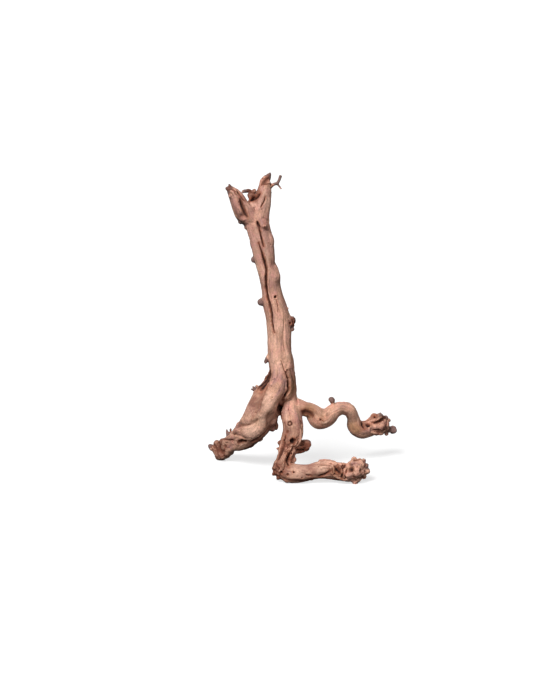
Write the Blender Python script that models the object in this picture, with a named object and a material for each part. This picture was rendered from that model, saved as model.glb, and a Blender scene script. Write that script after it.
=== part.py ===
"""A dry vine root, stripped of its bark, that stands on its own legs.

It grew as one piece, so it is one object: a wide hand with two broken prongs on a trunk, a thick leg to the
left, a thin leg that turns into a long foot, a curling arm that hangs clear of the floor, and the stubs, thorns
and burls on them. Each of them is a tube along its own line or a ball. A voxel remesh grows the overlapping
shapes together into one skin, and a cut at floor level gives the root the three small flats that it stands on.

Metres, +Z up, seen from -Y with +X to the right. The origin is on the floor, under the middle of the root.
"""

import bpy
import numpy as np

MM = 0.001

# Where the middle of the whole root lies in the tables below, and how much of its feet is cut off level.
MIDDLE = (1.8 * MM, -7.5 * MM)
FLOOR_LEVEL = 1.6 * MM

# The skin that all the limbs share.
SKIN_VOXEL = 2.1 * MM
SKIN_TRIANGLES = 9500
STATION_STEP = 5.0 * MM
SIDES = 20
WOOD_COLOUR = (0.50, 0.29, 0.20, 1.0)

# The ribs of vine wood: how many there are round a limb, how high each is as a share of the radius,
# and how far they wind round it, in radians per metre.
RIBS = ((2, 0.035, 4.0), (3, 0.045, 7.0), (5, 0.022, 12.0))

# Every limb is a list of stations: x, y, z of its middle and its radius there, in millimetres.
LIMBS = {
    "trunk": (
        (-32, -40, 167, 16),
        (-36, -42, 196, 22.5),
        (-40, -43, 225, 25.5),
        (-46, -42, 261, 24.5),
        (-47, -40, 297, 25),
        (-49, -38, 325, 25),
        (-57, -38, 357, 23),
        (-63, -40, 387, 20),
        (-67, -42, 414, 21.5),
        (-73, -43, 432, 20),
        (-76, -44, 450, 21.5),
        (-80, -44, 476, 22.5),
        (-87, -43, 501, 23),
        (-91, -42, 520, 22.5),
        (-93, -41, 535, 15),
    ),
    "left_prong": (
        (-93, -43, 503, 15),
        (-98, -43, 517, 18),
        (-112, -47, 533, 20.5),
        (-122, -52, 551, 17.5),
        (-130, -56, 568, 14),
        (-139, -59, 580, 9.5),
        (-147, -61, 587, 4.5),
    ),
    "right_prong": (
        (-84, -42, 500, 16),
        (-84, -40, 516, 19.5),
        (-81, -37, 536, 17),
        (-79, -34, 553, 18),
        (-76, -32, 568, 16.5),
        (-73, -30, 584, 13.5),
        (-72, -29, 596, 11.5),
        (-66, -28, 606, 6.5),
        (-63, -28, 612, 3),
    ),
    "left_leg": (
        (-45, -48, 248, 20),
        (-46, -50, 218, 19.5),
        (-52, -50, 192, 22.5),
        (-69, -44, 164, 28),
        (-83, -34, 136, 28.5),
        (-89, -20, 110, 30.5),
        (-105, 4, 83, 28.5),
        (-124, 32, 60, 23.5),
        (-144, 58, 43, 17.5),
        (-161, 78, 24, 19.5),
        (-172, 86, 17, 16.5),
    ),
    "left_leg_bulge": (
        (-78, -20, 127, 24),
        (-58, -20, 111, 17.5),
    ),
    "left_spur": (
        (-170, 84, 25, 10.5),
        (-183, 90, 26, 9),
        (-191, 94, 29, 4.5),
    ),
    "thin_leg": (
        (-29, -30, 213, 16),
        (-24, -28, 186, 14),
        (-25, -30, 160, 17),
        (-23, -36, 139, 22),
        (-19, -46, 121, 22),
        (-18, -54, 100, 21.5),
        (-23, -62, 80, 20.5),
        (-30, -70, 59, 19),
        (-37, -77, 43, 16),
        (-41, -82, 30, 17.5),
        (-38, -84, 16, 15),
    ),
    "foot": (
        (-42, -82, 25, 17),
        (-24, -86, 20, 20.5),
        (-4, -88, 20, 19),
        (15, -89, 23, 16.5),
        (35, -90, 27, 18),
        (55, -90, 27, 18.5),
        (75, -91, 25, 19.5),
        (93, -91, 23, 19.5),
        (108, -91, 29, 23),
        (119, -90, 30, 16.5),
        (124, -90, 30, 10),
    ),
    "arm": (
        (-16, -36, 147, 16),
        (0, -30, 139, 16),
        (17, -22, 132, 16),
        (36, -13, 113, 21.5),
        (52, -5, 115, 19),
        (66, 4, 125, 16),
        (81, 14, 128, 14),
        (98, 24, 120, 14),
        (106, 32, 103, 12.5),
        (110, 40, 85, 17),
        (122, 48, 75, 18.5),
        (136, 56, 76, 19),
        (151, 62, 81, 21),
        (165, 68, 79, 20),
        (173, 72, 76, 14),
    ),
    "arm_knuckle": (
        (170, 72, 71, 9.5),
        (183, 76, 68, 7),
        (190, 80, 66, 9.5),
        (193, 82, 65, 7),
    ),
    "broken_stub": (
        (-16, -58, 66, 16),
        (0, -51, 67, 14),
        (13, -45, 69, 11),
    ),
    "bark_ledge": (
        (-58, -32, 222, 4.5),
        (-64, -27, 206, 6),
        (-74, -22, 188, 6.5),
        (-84, -17, 172, 6),
    ),
    "crotch_web": (
        (-102, -34, 571, 6),
        (-99, -37, 558, 8),
        (-95, -40, 545, 11),
    ),
    "hollow_behind_the_split": (
        (-50, -30, 160, 12),
        (-47, -26, 145, 12),
        (-46, -25, 128, 10),
    ),
    "foot_ledge": (
        (34, -84, 43, 4.5),
        (47, -82, 43, 5),
        (65, -84, 41, 4.5),
    ),
}

# Twigs and thorns, as limbs are, and no thinner than the skin can hold.
TWIGS = {
    "forked_twig": (
        (-66, -28, 581, 6),
        (-57, -26, 588, 4),
        (-49, -25, 591, 3.4),
        (-46, -24, 596, 3.2),
        (-43, -22, 605, 3.2),
    ),
    "forked_twig_tine": (
        (-51, -25, 591, 2.8),
        (-46, -25, 585, 2.5),
        (-42, -26, 579, 2.4),
    ),
    "crotch_twig": (
        (-91, -36, 559, 7),
        (-98, -34, 568, 5.5),
        (-101, -32, 575, 4.5),
        (-107, -34, 577, 3.3),
        (-117, -38, 576, 2.8),
    ),
    "crotch_nub": (
        (-98, -32, 572, 4),
        (-94, -30, 579, 3),
    ),
    "trunk_spur": (
        (-64, -43, 251, 6),
        (-70, -45, 243, 5.5),
        (-74, -46, 236, 4),
    ),
    "leg_thorn": (
        (-89, -20, 169, 4.5),
        (-96, -20, 174, 3),
        (-102, -20, 176, 2.4),
    ),
    "foot_thorn": (
        (-150, 56, 60, 6),
        (-152, 56, 67, 3.6),
        (-153, 56, 73, 2.4),
    ),
    "arm_twig": (
        (64, 0, 136, 5),
        (62, -1, 144, 3.5),
        (61, -2, 149, 6),
        (57, -4, 151, 4.5),
    ),
}

# Knobs and burls are balls: x, y, z and radius in millimetres.
BALLS = (
    (-81, -40, 357, 8),
    (-30, -38, 344, 3.5),
    (-23, -37, 318, 11),
    (-94, -46, 443, 7.5),
    (-172, 82, 36, 8),
    (-19, -38, 311, 5.5),
    (-20, -40, 303, 4),
    (-21, -34, 323, 5),
    (-121, -48, 518, 6),
    (-110, -46, 507, 6),
    (-75, -58, 510, 8),
    (-122, 10, 92, 11),
    (-118, 26, 50, 9.5),
    (-104, 10, 58, 11),
    (-86, -2, 71, 9.5),
    (-58, -14, 99, 11),
    (-45, -62, 76, 5),
    (-48, -66, 65, 5),
    (-46, -74, 50, 6),
    (-53, -82, 28, 7),
    (-56, -84, 18, 5),
    (-48, -86, 12, 5.5),
    (-30, -92, 11, 10),
    (-18, -73, 45, 7.5),
    (149, 62, 98, 8.5),
    (161, 66, 98, 8.5),
    (172, 70, 93, 7.5),
    (178, 72, 88, 6),
    (175, 72, 60, 4.5),
    (164, 68, 65, 6.5),
    (154, 62, 63, 5.5),
    (145, 60, 67, 6.5),
    (102, -90, 49, 6.5),
    (112, -92, 44, 8.5),
    (121, -88, 46, 5),
    (126, -90, 36, 6.5),
    (128, -92, 26, 7),
    (122, -92, 15, 6.5),
    (108, -94, 13, 10),
    (105, -95, 5, 6.5),
    (-166, 82, 12, 13),
)


def line_through(stations):
    """Centres and radii every STATION_STEP along the smooth line through a limb's stations, in metres."""
    knots = np.array(stations, float) * MM
    chords = np.linalg.norm(np.diff(knots[:, :3], axis=0), axis=1)
    at_knot = np.concatenate(([0.0], np.cumsum(chords)))
    slopes = np.gradient(knots, at_knot, axis=0)
    along = np.linspace(0.0, at_knot[-1], max(4, round(at_knot[-1] / STATION_STEP)) + 1)
    span = np.clip(np.searchsorted(at_knot, along, side="right") - 1, 0, len(knots) - 2)
    length = chords[span][:, None]
    t = (along - at_knot[span])[:, None] / length
    start = knots[span] * (1 + 2 * t) + slopes[span] * length * t
    end = knots[span + 1] * (3 - 2 * t) - slopes[span + 1] * length * (1 - t)
    points = start * (1 - t) ** 2 + end * t**2
    return points[:, :3], points[:, 3], along


def tube(stations, ribs=RIBS):
    """A closed tube along a limb's line, as points and faces. Its two ends come to blunt points."""
    centres, radii, along = line_through(stations)
    ahead = np.gradient(centres, axis=0)
    ahead /= np.linalg.norm(ahead, axis=1)[:, None]
    front = np.array((0.0, -1.0, 0.0)) + ahead * ahead[:, 1:2]
    front /= np.linalg.norm(front, axis=1)[:, None]
    side = np.cross(ahead, front)
    angle = np.linspace(0.0, 2 * np.pi, SIDES, endpoint=False)
    swell = np.ones((len(centres), SIDES))
    for count, height, winding in ribs:
        swell += height * np.cos(count * angle[None, :] + winding * along[:, None])
    reach = (radii[:, None] * swell)[:, :, None]
    outward = side[:, None] * np.sin(angle)[None, :, None] + front[:, None] * np.cos(angle)[None, :, None]
    rings = centres[:, None] + reach * outward
    first_tip = centres[0] - ahead[0] * radii[0] * 0.6
    last_tip = centres[-1] + ahead[-1] * radii[-1] * 0.6
    points = [*rings.reshape(-1, 3), first_tip, last_tip]
    count = len(centres)
    faces = []
    for ring in range(count - 1):
        for k in range(SIDES):
            a, b = ring * SIDES + k, ring * SIDES + (k + 1) % SIDES
            faces.append((a, b, b + SIDES, a + SIDES))
    for k in range(SIDES):
        following = (k + 1) % SIDES
        faces.append((count * SIDES, following, k))
        last_ring = (count - 1) * SIDES
        faces.append((count * SIDES + 1, last_ring + k, last_ring + following))
    return points, faces


def ball(centre_and_radius, rows=8):
    """A ball, as the points and faces of a tube whose radius follows a half circle."""
    x, y, z, radius = centre_and_radius
    tilt = np.linspace(-0.98, 0.98, rows)
    return tube([(x, y, z + radius * t, radius * np.sqrt(1 - t * t)) for t in tilt], ribs=())


def add_object(name, shapes):
    """One object that holds all the given shapes, each a list of points and a list of faces."""
    points, faces = [], []
    shift = np.array((*MIDDLE, FLOOR_LEVEL))
    for shape_points, shape_faces in shapes:
        base = len(points)
        points.extend(map(tuple, np.array(shape_points) - shift))
        faces.extend(tuple(base + index for index in face) for face in shape_faces)
    mesh = bpy.data.meshes.new(name)
    mesh.from_pydata(points, [], faces)
    made = bpy.data.objects.new(name, mesh)
    bpy.context.scene.collection.objects.link(made)
    return made


def add_floor_cutter():
    """A block whose top is the floor. It is only there to cut the root's feet level."""
    bpy.ops.mesh.primitive_cube_add(size=1.0, location=(0.0, 0.0, -0.5), scale=(2.0, 2.0, 1.0))
    cutter = bpy.context.object
    cutter.name = "floor_cutter"
    cutter.hide_render = True
    cutter.display_type = "WIRE"
    return cutter


def wood_material():
    """Bare, sand-blasted vine wood."""
    material = bpy.data.materials.new("bare_vine_wood")
    material.use_nodes = True
    shader = material.node_tree.nodes["Principled BSDF"]
    shader.inputs["Base Color"].default_value = WOOD_COLOUR
    shader.inputs["Roughness"].default_value = 0.8
    shader.inputs["Metallic"].default_value = 0.0
    return material


def build_root():
    """The whole root, as one object."""
    grown = [tube(stations) for stations in LIMBS.values()]
    grown += [tube(stations, ribs=()) for stations in TWIGS.values()]
    grown += [ball(place) for place in BALLS]
    root = add_object("dry_root", grown)
    root.data.materials.append(wood_material())
    skin = root.modifiers.new("grow_together", "REMESH")
    skin.mode = "VOXEL"
    skin.voxel_size = SKIN_VOXEL
    ease = root.modifiers.new("ease", "SMOOTH")
    ease.factor = 0.5
    ease.iterations = 4
    lighten = root.modifiers.new("lighten", "DECIMATE")
    bpy.context.view_layer.update()
    fine = root.evaluated_get(bpy.context.evaluated_depsgraph_get())
    lighten.ratio = min(1.0, SKIN_TRIANGLES / (2 * len(fine.data.polygons)))
    level = root.modifiers.new("level_feet", "BOOLEAN")
    level.operation = "DIFFERENCE"
    level.solver = "EXACT"
    level.object = add_floor_cutter()
    return root


def main():
    for leftover in list(bpy.data.objects):
        bpy.data.objects.remove(leftover)
    build_root()


main()
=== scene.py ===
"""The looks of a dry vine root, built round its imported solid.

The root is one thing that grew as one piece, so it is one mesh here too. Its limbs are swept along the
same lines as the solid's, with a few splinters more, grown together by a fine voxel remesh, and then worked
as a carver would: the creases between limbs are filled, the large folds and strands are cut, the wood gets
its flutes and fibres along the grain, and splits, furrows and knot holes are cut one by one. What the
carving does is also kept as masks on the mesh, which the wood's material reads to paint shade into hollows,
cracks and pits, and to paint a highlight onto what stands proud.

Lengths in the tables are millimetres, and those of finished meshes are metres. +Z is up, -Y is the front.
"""

import logging
import math
from dataclasses import dataclass, field
from enum import Enum

import bpy
import numpy as np
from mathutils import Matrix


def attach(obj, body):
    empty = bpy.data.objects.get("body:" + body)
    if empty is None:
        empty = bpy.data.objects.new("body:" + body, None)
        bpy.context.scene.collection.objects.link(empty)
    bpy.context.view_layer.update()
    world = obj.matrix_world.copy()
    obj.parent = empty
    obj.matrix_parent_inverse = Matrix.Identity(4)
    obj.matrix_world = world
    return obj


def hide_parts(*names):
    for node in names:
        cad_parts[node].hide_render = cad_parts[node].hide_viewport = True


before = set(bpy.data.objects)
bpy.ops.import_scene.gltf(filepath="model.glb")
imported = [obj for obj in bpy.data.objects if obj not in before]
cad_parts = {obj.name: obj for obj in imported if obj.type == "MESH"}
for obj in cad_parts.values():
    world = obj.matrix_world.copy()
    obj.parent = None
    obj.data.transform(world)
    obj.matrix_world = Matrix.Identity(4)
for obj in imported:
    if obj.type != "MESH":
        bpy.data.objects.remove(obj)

MM = 0.001
NODE = "dry_root"
BODY = "root"
LOG = logging.getLogger(NODE)

# The tables below share a layout of their own: this is where the solid's origin lies in it, in millimetres.
ORIGIN = np.array((1.8, -7.5, 1.6))


# ----------------------------------------------------------------------------------------------------
# Numbers over space
# ----------------------------------------------------------------------------------------------------


def lattice(cells: np.ndarray, seed: int) -> np.ndarray:
    """A fixed random number between -1 and 1 for every whole-numbered cell of space.

    Args:
        cells: whole numbers, shape (..., 3).
        seed: picks one field of numbers out of many.

    Returns:
        One number per cell: indices and seed times large odd numbers, summed, with the bits folded over.
    """
    mixed = cells[..., 0] * 374761393 + cells[..., 1] * 668265263 + cells[..., 2] * 1442695041
    mixed = (mixed + seed * 1013904223) & 0xFFFFFFFF
    mixed = ((mixed ^ (mixed >> 13)) * 1274126177) & 0xFFFFFFFF
    mixed = ((mixed ^ (mixed >> 15)) * 1181783497) & 0xFFFFFFFF
    return ((mixed ^ (mixed >> 16)) & 0xFFFF) / 32767.5 - 1.0


def noise(points: np.ndarray, seed: int) -> np.ndarray:
    """Smooth noise between -1 and 1 with cells one unit wide.

    The numbers at the eight corners of each point's cell are blended with weights t*t*(3-2t) on each axis.

    Args:
        points: positions in cells, shape (n, 3).
        seed: which noise.

    Returns:
        One value per point.
    """
    low = np.floor(points).astype(np.int64)
    t = points - low
    t = t * t * (3.0 - 2.0 * t)
    value = np.zeros(len(points))
    for corner in np.ndindex(2, 2, 2):
        weight = np.prod(np.where(corner, t, 1.0 - t), axis=1)
        value += weight * lattice(low + np.array(corner), seed)
    return value


def layered(points: np.ndarray, seed: int, layers: int = 3) -> np.ndarray:
    """Noise in layers, each with cells half as wide and half as strong as the one before.

    Args:
        points: positions in cells of the widest layer, shape (n, 3).
        seed: which noise.
        layers: how many layers.

    Returns:
        One value per point, about -1 to 1.
    """
    total = np.zeros(len(points))
    for k in range(layers):
        total += noise(points * 2.0**k + 17.3 * k, seed + k) / 2.0**k
    return total / (2.0 - 2.0 ** (1 - layers))


def lobes(points: np.ndarray, seed: int) -> tuple[np.ndarray, np.ndarray]:
    """Space packed with round lobes, one to a cell, as burls are.

    Every cell has one seed point, shaken off its middle. The nearest two seed points give the lobes.

    Args:
        points: positions in cells, shape (n, 3).
        seed: which packing.

    Returns:
        How far each point is from its lobe's middle, and how far it is from the crease round that lobe.
    """
    low = np.floor(points).astype(np.int64)
    first = np.full(len(points), 9.0)
    second = first.copy()
    for step in np.ndindex(3, 3, 3):
        cell = low + np.array(step) - 1
        shaken = np.stack([lattice(cell, seed + axis) for axis in range(3)], axis=1)
        away = np.linalg.norm(cell + 0.5 + 0.45 * shaken - points, axis=1)
        second = np.minimum(second, np.maximum(first, away))
        first = np.minimum(first, away)
    return first, second - first


def ease(low: float, high: float, value: np.ndarray) -> np.ndarray:
    """0 below low, 1 above high and 3t^2-2t^3 between."""
    t = np.clip((value - low) / (high - low), 0.0, 1.0)
    return t * t * (3.0 - 2.0 * t)


def hump(distance: np.ndarray, width: float | np.ndarray) -> np.ndarray:
    """A bell, exp(-(d/w)^2): 1 at no distance, a third of that at one width, nothing at three."""
    return np.exp(-np.square(distance / width))


# ----------------------------------------------------------------------------------------------------
# Limbs
# ----------------------------------------------------------------------------------------------------


# The long ribs round a limb: how many, how high as a share of its radius, and their winding in radians per
# millimetre.
RIBS = ((2, 0.035, 0.004), (3, 0.045, 0.007), (5, 0.022, 0.012))

# How far a limb's tip stands out past its last ring, as a share of the radius there.
TIP = 0.6


class Strand(Enum):
    """The sets that limbs are dealt into for their grain. Large limbs that join are in different sets."""

    STEM = 0
    BRANCH = 1
    SHOOT = 2


@dataclass(frozen=True)
class Line:
    """A limb's middle line, sampled evenly: places, radii, distance along, and two directions across it."""

    centre: np.ndarray
    radius: np.ndarray
    along: np.ndarray
    ahead: np.ndarray
    front: np.ndarray
    side: np.ndarray


@dataclass(frozen=True)
class Limb:
    """A stem, leg, twig or swelling that is round enough to be swept along a line.

    Attributes:
        stations: x, y, z of the middle and the radius there, in millimetres.
        strand: the set whose grain follows this limb, or None for swellings, which take their neighbour's.
        ribs: how strongly the wood's long ribs show on it.
        twist: how fast its grain winds round it, in radians per millimetre.
        flutes: how strongly it is fluted along its grain.
    """

    stations: tuple[tuple[float, float, float, float], ...]
    strand: Strand | None = None
    ribs: float = 1.0
    twist: float = 0.004
    flutes: float = 1.0

    def line(self, step: float = 2.0) -> Line:
        """Samples the smooth line through the stations.

        Between two stations the line is the cubic whose ends have the stations' places and slopes.

        Args:
            step: distance between samples, in millimetres.

        Returns:
            The line, with unit directions: ahead along it, front as near -Y as it can be, side across both.
        """
        knots = np.array(self.stations, float)
        knots[:, :3] -= ORIGIN
        chords = np.linalg.norm(np.diff(knots[:, :3], axis=0), axis=1)
        at_knot = np.concatenate(([0.0], np.cumsum(chords)))
        slopes = np.gradient(knots, at_knot, axis=0)
        along = np.linspace(0.0, at_knot[-1], max(4, round(at_knot[-1] / step)) + 1)
        span = np.clip(np.searchsorted(at_knot, along, side="right") - 1, 0, len(knots) - 2)
        length = chords[span][:, None]
        t = (along - at_knot[span])[:, None] / length
        start = knots[span] * (1 + 2 * t) + slopes[span] * length * t
        end = knots[span + 1] * (3 - 2 * t) - slopes[span + 1] * length * (1 - t)
        points = start * (1 - t) ** 2 + end * t**2
        ahead = np.gradient(points[:, :3], axis=0)
        ahead /= np.linalg.norm(ahead, axis=1)[:, None]
        front = np.array((0.0, -1.0, 0.0)) + ahead * ahead[:, 1:2]
        front /= np.linalg.norm(front, axis=1)[:, None]
        return Line(points[:, :3], points[:, 3], along, ahead, front, np.cross(ahead, front))

    def skin(self, sides: int = 40) -> tuple[np.ndarray, np.ndarray]:
        """Sweeps a ribbed ring along the line and closes both ends with a blunt tip.

        The radius at angle a and distance s is R(s) * (1 + sum of h*cos(k*a + w*s)) over the ribs.

        Args:
            sides: points round a ring.

        Returns:
            Points in millimetres, and triangles as indices into them.
        """
        line = self.line()
        angle = np.linspace(0.0, 2 * np.pi, sides, endpoint=False)
        swell = np.ones((len(line.along), sides))
        for count, height, winding in RIBS:
            swell += self.ribs * height * np.cos(count * angle[None, :] + winding * line.along[:, None])
        outward = line.side[:, None] * np.sin(angle)[None, :, None]
        outward = outward + line.front[:, None] * np.cos(angle)[None, :, None]
        rings = line.centre[:, None] + (line.radius[:, None] * swell)[:, :, None] * outward
        tips = np.stack(
            (
                line.centre[0] - line.ahead[0] * line.radius[0] * TIP,
                line.centre[-1] + line.ahead[-1] * line.radius[-1] * TIP,
            )
        )
        points = np.concatenate((rings.reshape(-1, 3), tips))
        index = np.arange(len(line.along) * sides).reshape(-1, sides)
        here, there = index[:-1], index[1:]
        here_next, there_next = np.roll(here, -1, axis=1), np.roll(there, -1, axis=1)
        walls = np.concatenate(
            (np.stack((here, here_next, there_next), -1), np.stack((here, there_next, there), -1))
        ).reshape(-1, 3)
        first, last = index[0], index[-1]
        bottom = np.stack((np.full(sides, len(points) - 2), np.roll(first, -1), first), -1)
        top = np.stack((np.full(sides, len(points) - 1), last, np.roll(last, -1)), -1)
        return points, np.concatenate((walls, bottom, top))


def ball(x: float, y: float, z: float, radius: float) -> Limb:
    """A knob, as a limb whose radius follows a half circle up its height."""
    tilt = np.linspace(-0.98, 0.98, 9)
    stations = tuple((x, y, z + radius * t, radius * math.sqrt(1 - t * t)) for t in tilt)
    return Limb(stations, ribs=0.0)


LIMBS = {
    "trunk": Limb(
        (
            (-32, -40, 167, 16), (-36, -42, 196, 22.5), (-40, -43, 225, 25.5), (-46, -42, 261, 24.5),
            (-47, -40, 297, 25), (-49, -38, 325, 25), (-57, -38, 357, 23), (-63, -40, 387, 20),
            (-67, -42, 414, 21.5), (-73, -43, 432, 20), (-76, -44, 450, 21.5), (-80, -44, 476, 22.5),
            (-87, -43, 501, 23), (-91, -42, 520, 22.5), (-93, -41, 535, 15),
        ),
        Strand.STEM,
        twist=0.0015,
    ),
    "left_prong": Limb(
        (
            (-93, -43, 503, 15), (-98, -43, 517, 18), (-112, -47, 533, 20.5), (-122, -52, 551, 17.5),
            (-130, -56, 568, 14), (-139, -59, 580, 9.5), (-147, -61, 587, 4.5),
        ),
        Strand.SHOOT,
    ),
    "right_prong": Limb(
        (
            (-84, -42, 500, 16), (-84, -40, 516, 19.5), (-81, -37, 536, 17), (-79, -34, 553, 18),
            (-76, -32, 568, 16.5), (-73, -30, 584, 13.5), (-72, -29, 596, 11.5), (-66, -28, 606, 6.5),
            (-63, -28, 612, 3),
        ),
        Strand.BRANCH,
    ),
    "left_leg": Limb(
        (
            (-45, -48, 248, 20), (-46, -50, 218, 19.5), (-52, -50, 192, 22.5), (-69, -44, 164, 28),
            (-83, -34, 136, 28.5), (-89, -20, 110, 30.5), (-105, 4, 83, 28.5), (-124, 32, 60, 23.5),
            (-144, 58, 43, 17.5), (-161, 78, 24, 19.5), (-172, 86, 17, 16.5),
        ),
        Strand.BRANCH,
        twist=0.007,
        flutes=0.45,
    ),
    "left_leg_bulge": Limb(((-78, -20, 127, 24), (-58, -20, 111, 17.5))),
    "left_spur": Limb(((-170, 84, 25, 10.5), (-183, 90, 26, 9), (-191, 94, 29, 4.5))),
    "thin_leg": Limb(
        (
            (-29, -30, 213, 16), (-24, -28, 186, 14), (-25, -30, 160, 17), (-23, -36, 139, 22),
            (-19, -46, 121, 22), (-18, -54, 100, 21.5), (-23, -62, 80, 20.5), (-30, -70, 59, 19),
            (-37, -77, 43, 16), (-41, -82, 30, 17.5), (-38, -84, 16, 15),
        ),
        Strand.SHOOT,
    ),
    "foot": Limb(
        (
            (-42, -82, 25, 17), (-24, -86, 20, 20.5), (-4, -88, 20, 19), (15, -89, 23, 16.5),
            (35, -90, 27, 18), (55, -90, 27, 18.5), (75, -91, 25, 19.5), (93, -91, 23, 19.5),
            (108, -91, 29, 23), (119, -90, 30, 16.5), (124, -90, 30, 10),
        ),
        Strand.STEM,
        flutes=0.6,
    ),
    "arm": Limb(
        (
            (-16, -36, 147, 16), (0, -30, 139, 16), (17, -22, 132, 16), (36, -13, 113, 21.5),
            (52, -5, 115, 19), (66, 4, 125, 16), (81, 14, 128, 14), (98, 24, 120, 14), (106, 32, 103, 12.5),
            (110, 40, 85, 17), (122, 48, 75, 18.5), (136, 56, 76, 19), (151, 62, 81, 21), (165, 68, 79, 20),
            (173, 72, 76, 14),
        ),
        Strand.BRANCH,
        flutes=0.35,
    ),
    "arm_knuckle": Limb(
        (
            (170, 72, 71, 9.5), (183, 76, 68, 7), (190, 80, 66, 9.5), (193, 82, 65, 7),
        ),
        Strand.STEM,
    ),
    "broken_stub": Limb(((-16, -58, 66, 16), (0, -51, 67, 14), (13, -45, 69, 11)), Strand.STEM),
    "bark_ledge": Limb(
        (
            (-58, -32, 222, 4.5), (-64, -27, 206, 6), (-74, -22, 188, 6.5), (-84, -17, 172, 6),
        ),
    ),
    "crotch_web": Limb(((-102, -34, 571, 6), (-99, -37, 558, 8), (-95, -40, 545, 11))),
    "hollow_behind_the_split": Limb(((-50, -30, 160, 12), (-47, -26, 145, 12), (-46, -25, 128, 10))),
    "foot_ledge": Limb(((34, -84, 43, 4.5), (47, -82, 43, 5), (65, -84, 41, 4.5))),
    "forked_twig": Limb(
        (
            (-66, -28, 581, 6), (-57, -26, 588, 4), (-49, -25, 591, 3.4), (-46, -24, 596, 3.2),
            (-43, -22, 605, 3.2),
        ),
        Strand.STEM,
    ),
    "left_splinter": Limb(
        (
            (-140, -60, 577, 5), (-146, -60, 583, 3.6), (-150, -60, 586, 2.0),
        ),
        Strand.SHOOT,
    ),
    "left_splinter_up": Limb(
        (
            (-136, -58, 580, 5), (-141, -58, 588, 3), (-143, -58, 593, 1.6),
        ),
        Strand.SHOOT,
    ),
    "forked_twig_tine": Limb(
        (
            (-51, -25, 591, 2.8), (-46, -25, 585, 2.3), (-42, -26, 579, 2.0),
        ),
        Strand.SHOOT,
    ),
    "crotch_twig": Limb(
        (
            (-91, -36, 559, 7), (-98, -34, 568, 5.5), (-101, -32, 575, 4.5), (-107, -34, 577, 3.3),
            (-117, -38, 576, 2.8),
        ),
        Strand.STEM,
    ),
    "crotch_nub": Limb(((-98, -32, 572, 4), (-94, -30, 579, 3)), Strand.SHOOT),
    "trunk_spur": Limb(((-64, -43, 251, 6), (-70, -45, 243, 5.5), (-74, -46, 236, 4)), Strand.SHOOT),
    "leg_thorn_out": Limb(((-89, -20, 169, 4.5), (-96, -20, 174, 2.8), (-102, -20, 176, 1.8)), Strand.STEM),
    "leg_thorn_up": Limb(((-88, -22, 168, 4.5), (-90, -22, 177, 3.2), (-91, -22, 185, 1.8)), Strand.SHOOT),
    "leg_thorn_between": Limb(
        (
            (-91, -22, 168, 4), (-95, -22, 176, 2.6), (-97, -22, 182, 1.6),
        ),
        Strand.SHOOT,
    ),
    "foot_thorn_out": Limb(((-150, 56, 60, 6), (-152, 56, 67, 3.4), (-153, 56, 73, 2.0)), Strand.STEM),
    "foot_thorn_up": Limb(((-148, 54, 60, 5), (-145, 54, 68, 3), (-145, 54, 75, 2)), Strand.SHOOT),
    "arm_twig": Limb(
        ((64, 0, 136, 5), (62, -1, 144, 3.3), (61, -2, 149, 6), (57, -4, 151, 4.5), (55, -5, 151, 2.0)),
        Strand.STEM,
    ),
}

# Knobs and burls: x, y, z and radius.
KNOBS = (
    (-81, -40, 357, 8), (-94, -46, 443, 7.5), (-30, -38, 344, 3.5), (-23, -37, 318, 11),
    (-19, -38, 311, 5.5), (-20, -40, 303, 4), (-21, -34, 323, 5), (-121, -48, 518, 6), (-110, -46, 507, 6),
    (-75, -58, 510, 8), (-172, 82, 36, 8), (-122, 10, 92, 11), (-118, 26, 50, 9.5), (-104, 10, 58, 11),
    (-86, -2, 71, 9.5), (-58, -14, 99, 11), (-45, -62, 76, 5), (-48, -66, 65, 5), (-46, -74, 50, 6),
    (-53, -82, 28, 7), (-56, -84, 18, 5), (-48, -86, 12, 5.5), (-30, -92, 11, 10), (-18, -73, 45, 7.5),
    (149, 62, 98, 8.5), (161, 66, 98, 8.5), (172, 70, 93, 7.5), (178, 72, 88, 6), (175, 72, 60, 4.5),
    (164, 68, 65, 6.5), (154, 62, 63, 5.5), (145, 60, 67, 6.5), (102, -90, 49, 6.5), (112, -92, 44, 8.5),
    (121, -88, 46, 5), (126, -90, 36, 6.5), (128, -92, 26, 7), (122, -92, 15, 6.5), (108, -94, 13, 10),
    (105, -95, 5, 6.5), (-166, 82, 12, 13),
)


# ----------------------------------------------------------------------------------------------------
# Marks: what is cut into the wood or stands up from it
# ----------------------------------------------------------------------------------------------------


class Cut(Enum):
    """The ways in which the wood's skin is marked."""

    SPLIT = "a sharp crack with slightly raised lips"
    FURROW = "a soft groove"
    RIDGE = "a soft ridge"
    STRAND = "a round strand of wood that lies on the rest, creased along both its sides"
    HOLE = "a pit with steep walls and a raised rim"
    DENT = "a wide shallow hollow, or a lump where its depth is negative"
    RING = "a knot: a ring-shaped groove round a low boss"
    STAIN = "colour only"


# How uneven marks are, as shares of their width: a round one's edge, a long one's edge, a long one's width.
ROUND_WOBBLE = 0.18
LONG_WOBBLE = 0.22
WIDTH_SWING = 0.25

# Where a mark comes to its full strength: for a round one, how squarely the skin faces it, as a cosine; for a
# long one's darkness, how far it has swelled from its pointed end, from 0 to 1.
FULL = 0.35


@dataclass(frozen=True)
class Mark:
    """One mark in the wood.

    Attributes:
        cut: how it is cut.
        width: half the width of a groove or ridge, or the radius of a round mark, in millimetres.
        depth: how far it goes in, or how far a ridge stands out, in millimetres.
        dark: how dark it is painted, 0 to 1: painted shade in a groove, crack or pit, or a stain's colour.
        path: points on or near the skin, in millimetres; one point for a round mark.
    """

    cut: Cut
    width: float
    depth: float
    dark: float
    path: tuple[tuple[float, float, float], ...]


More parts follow.
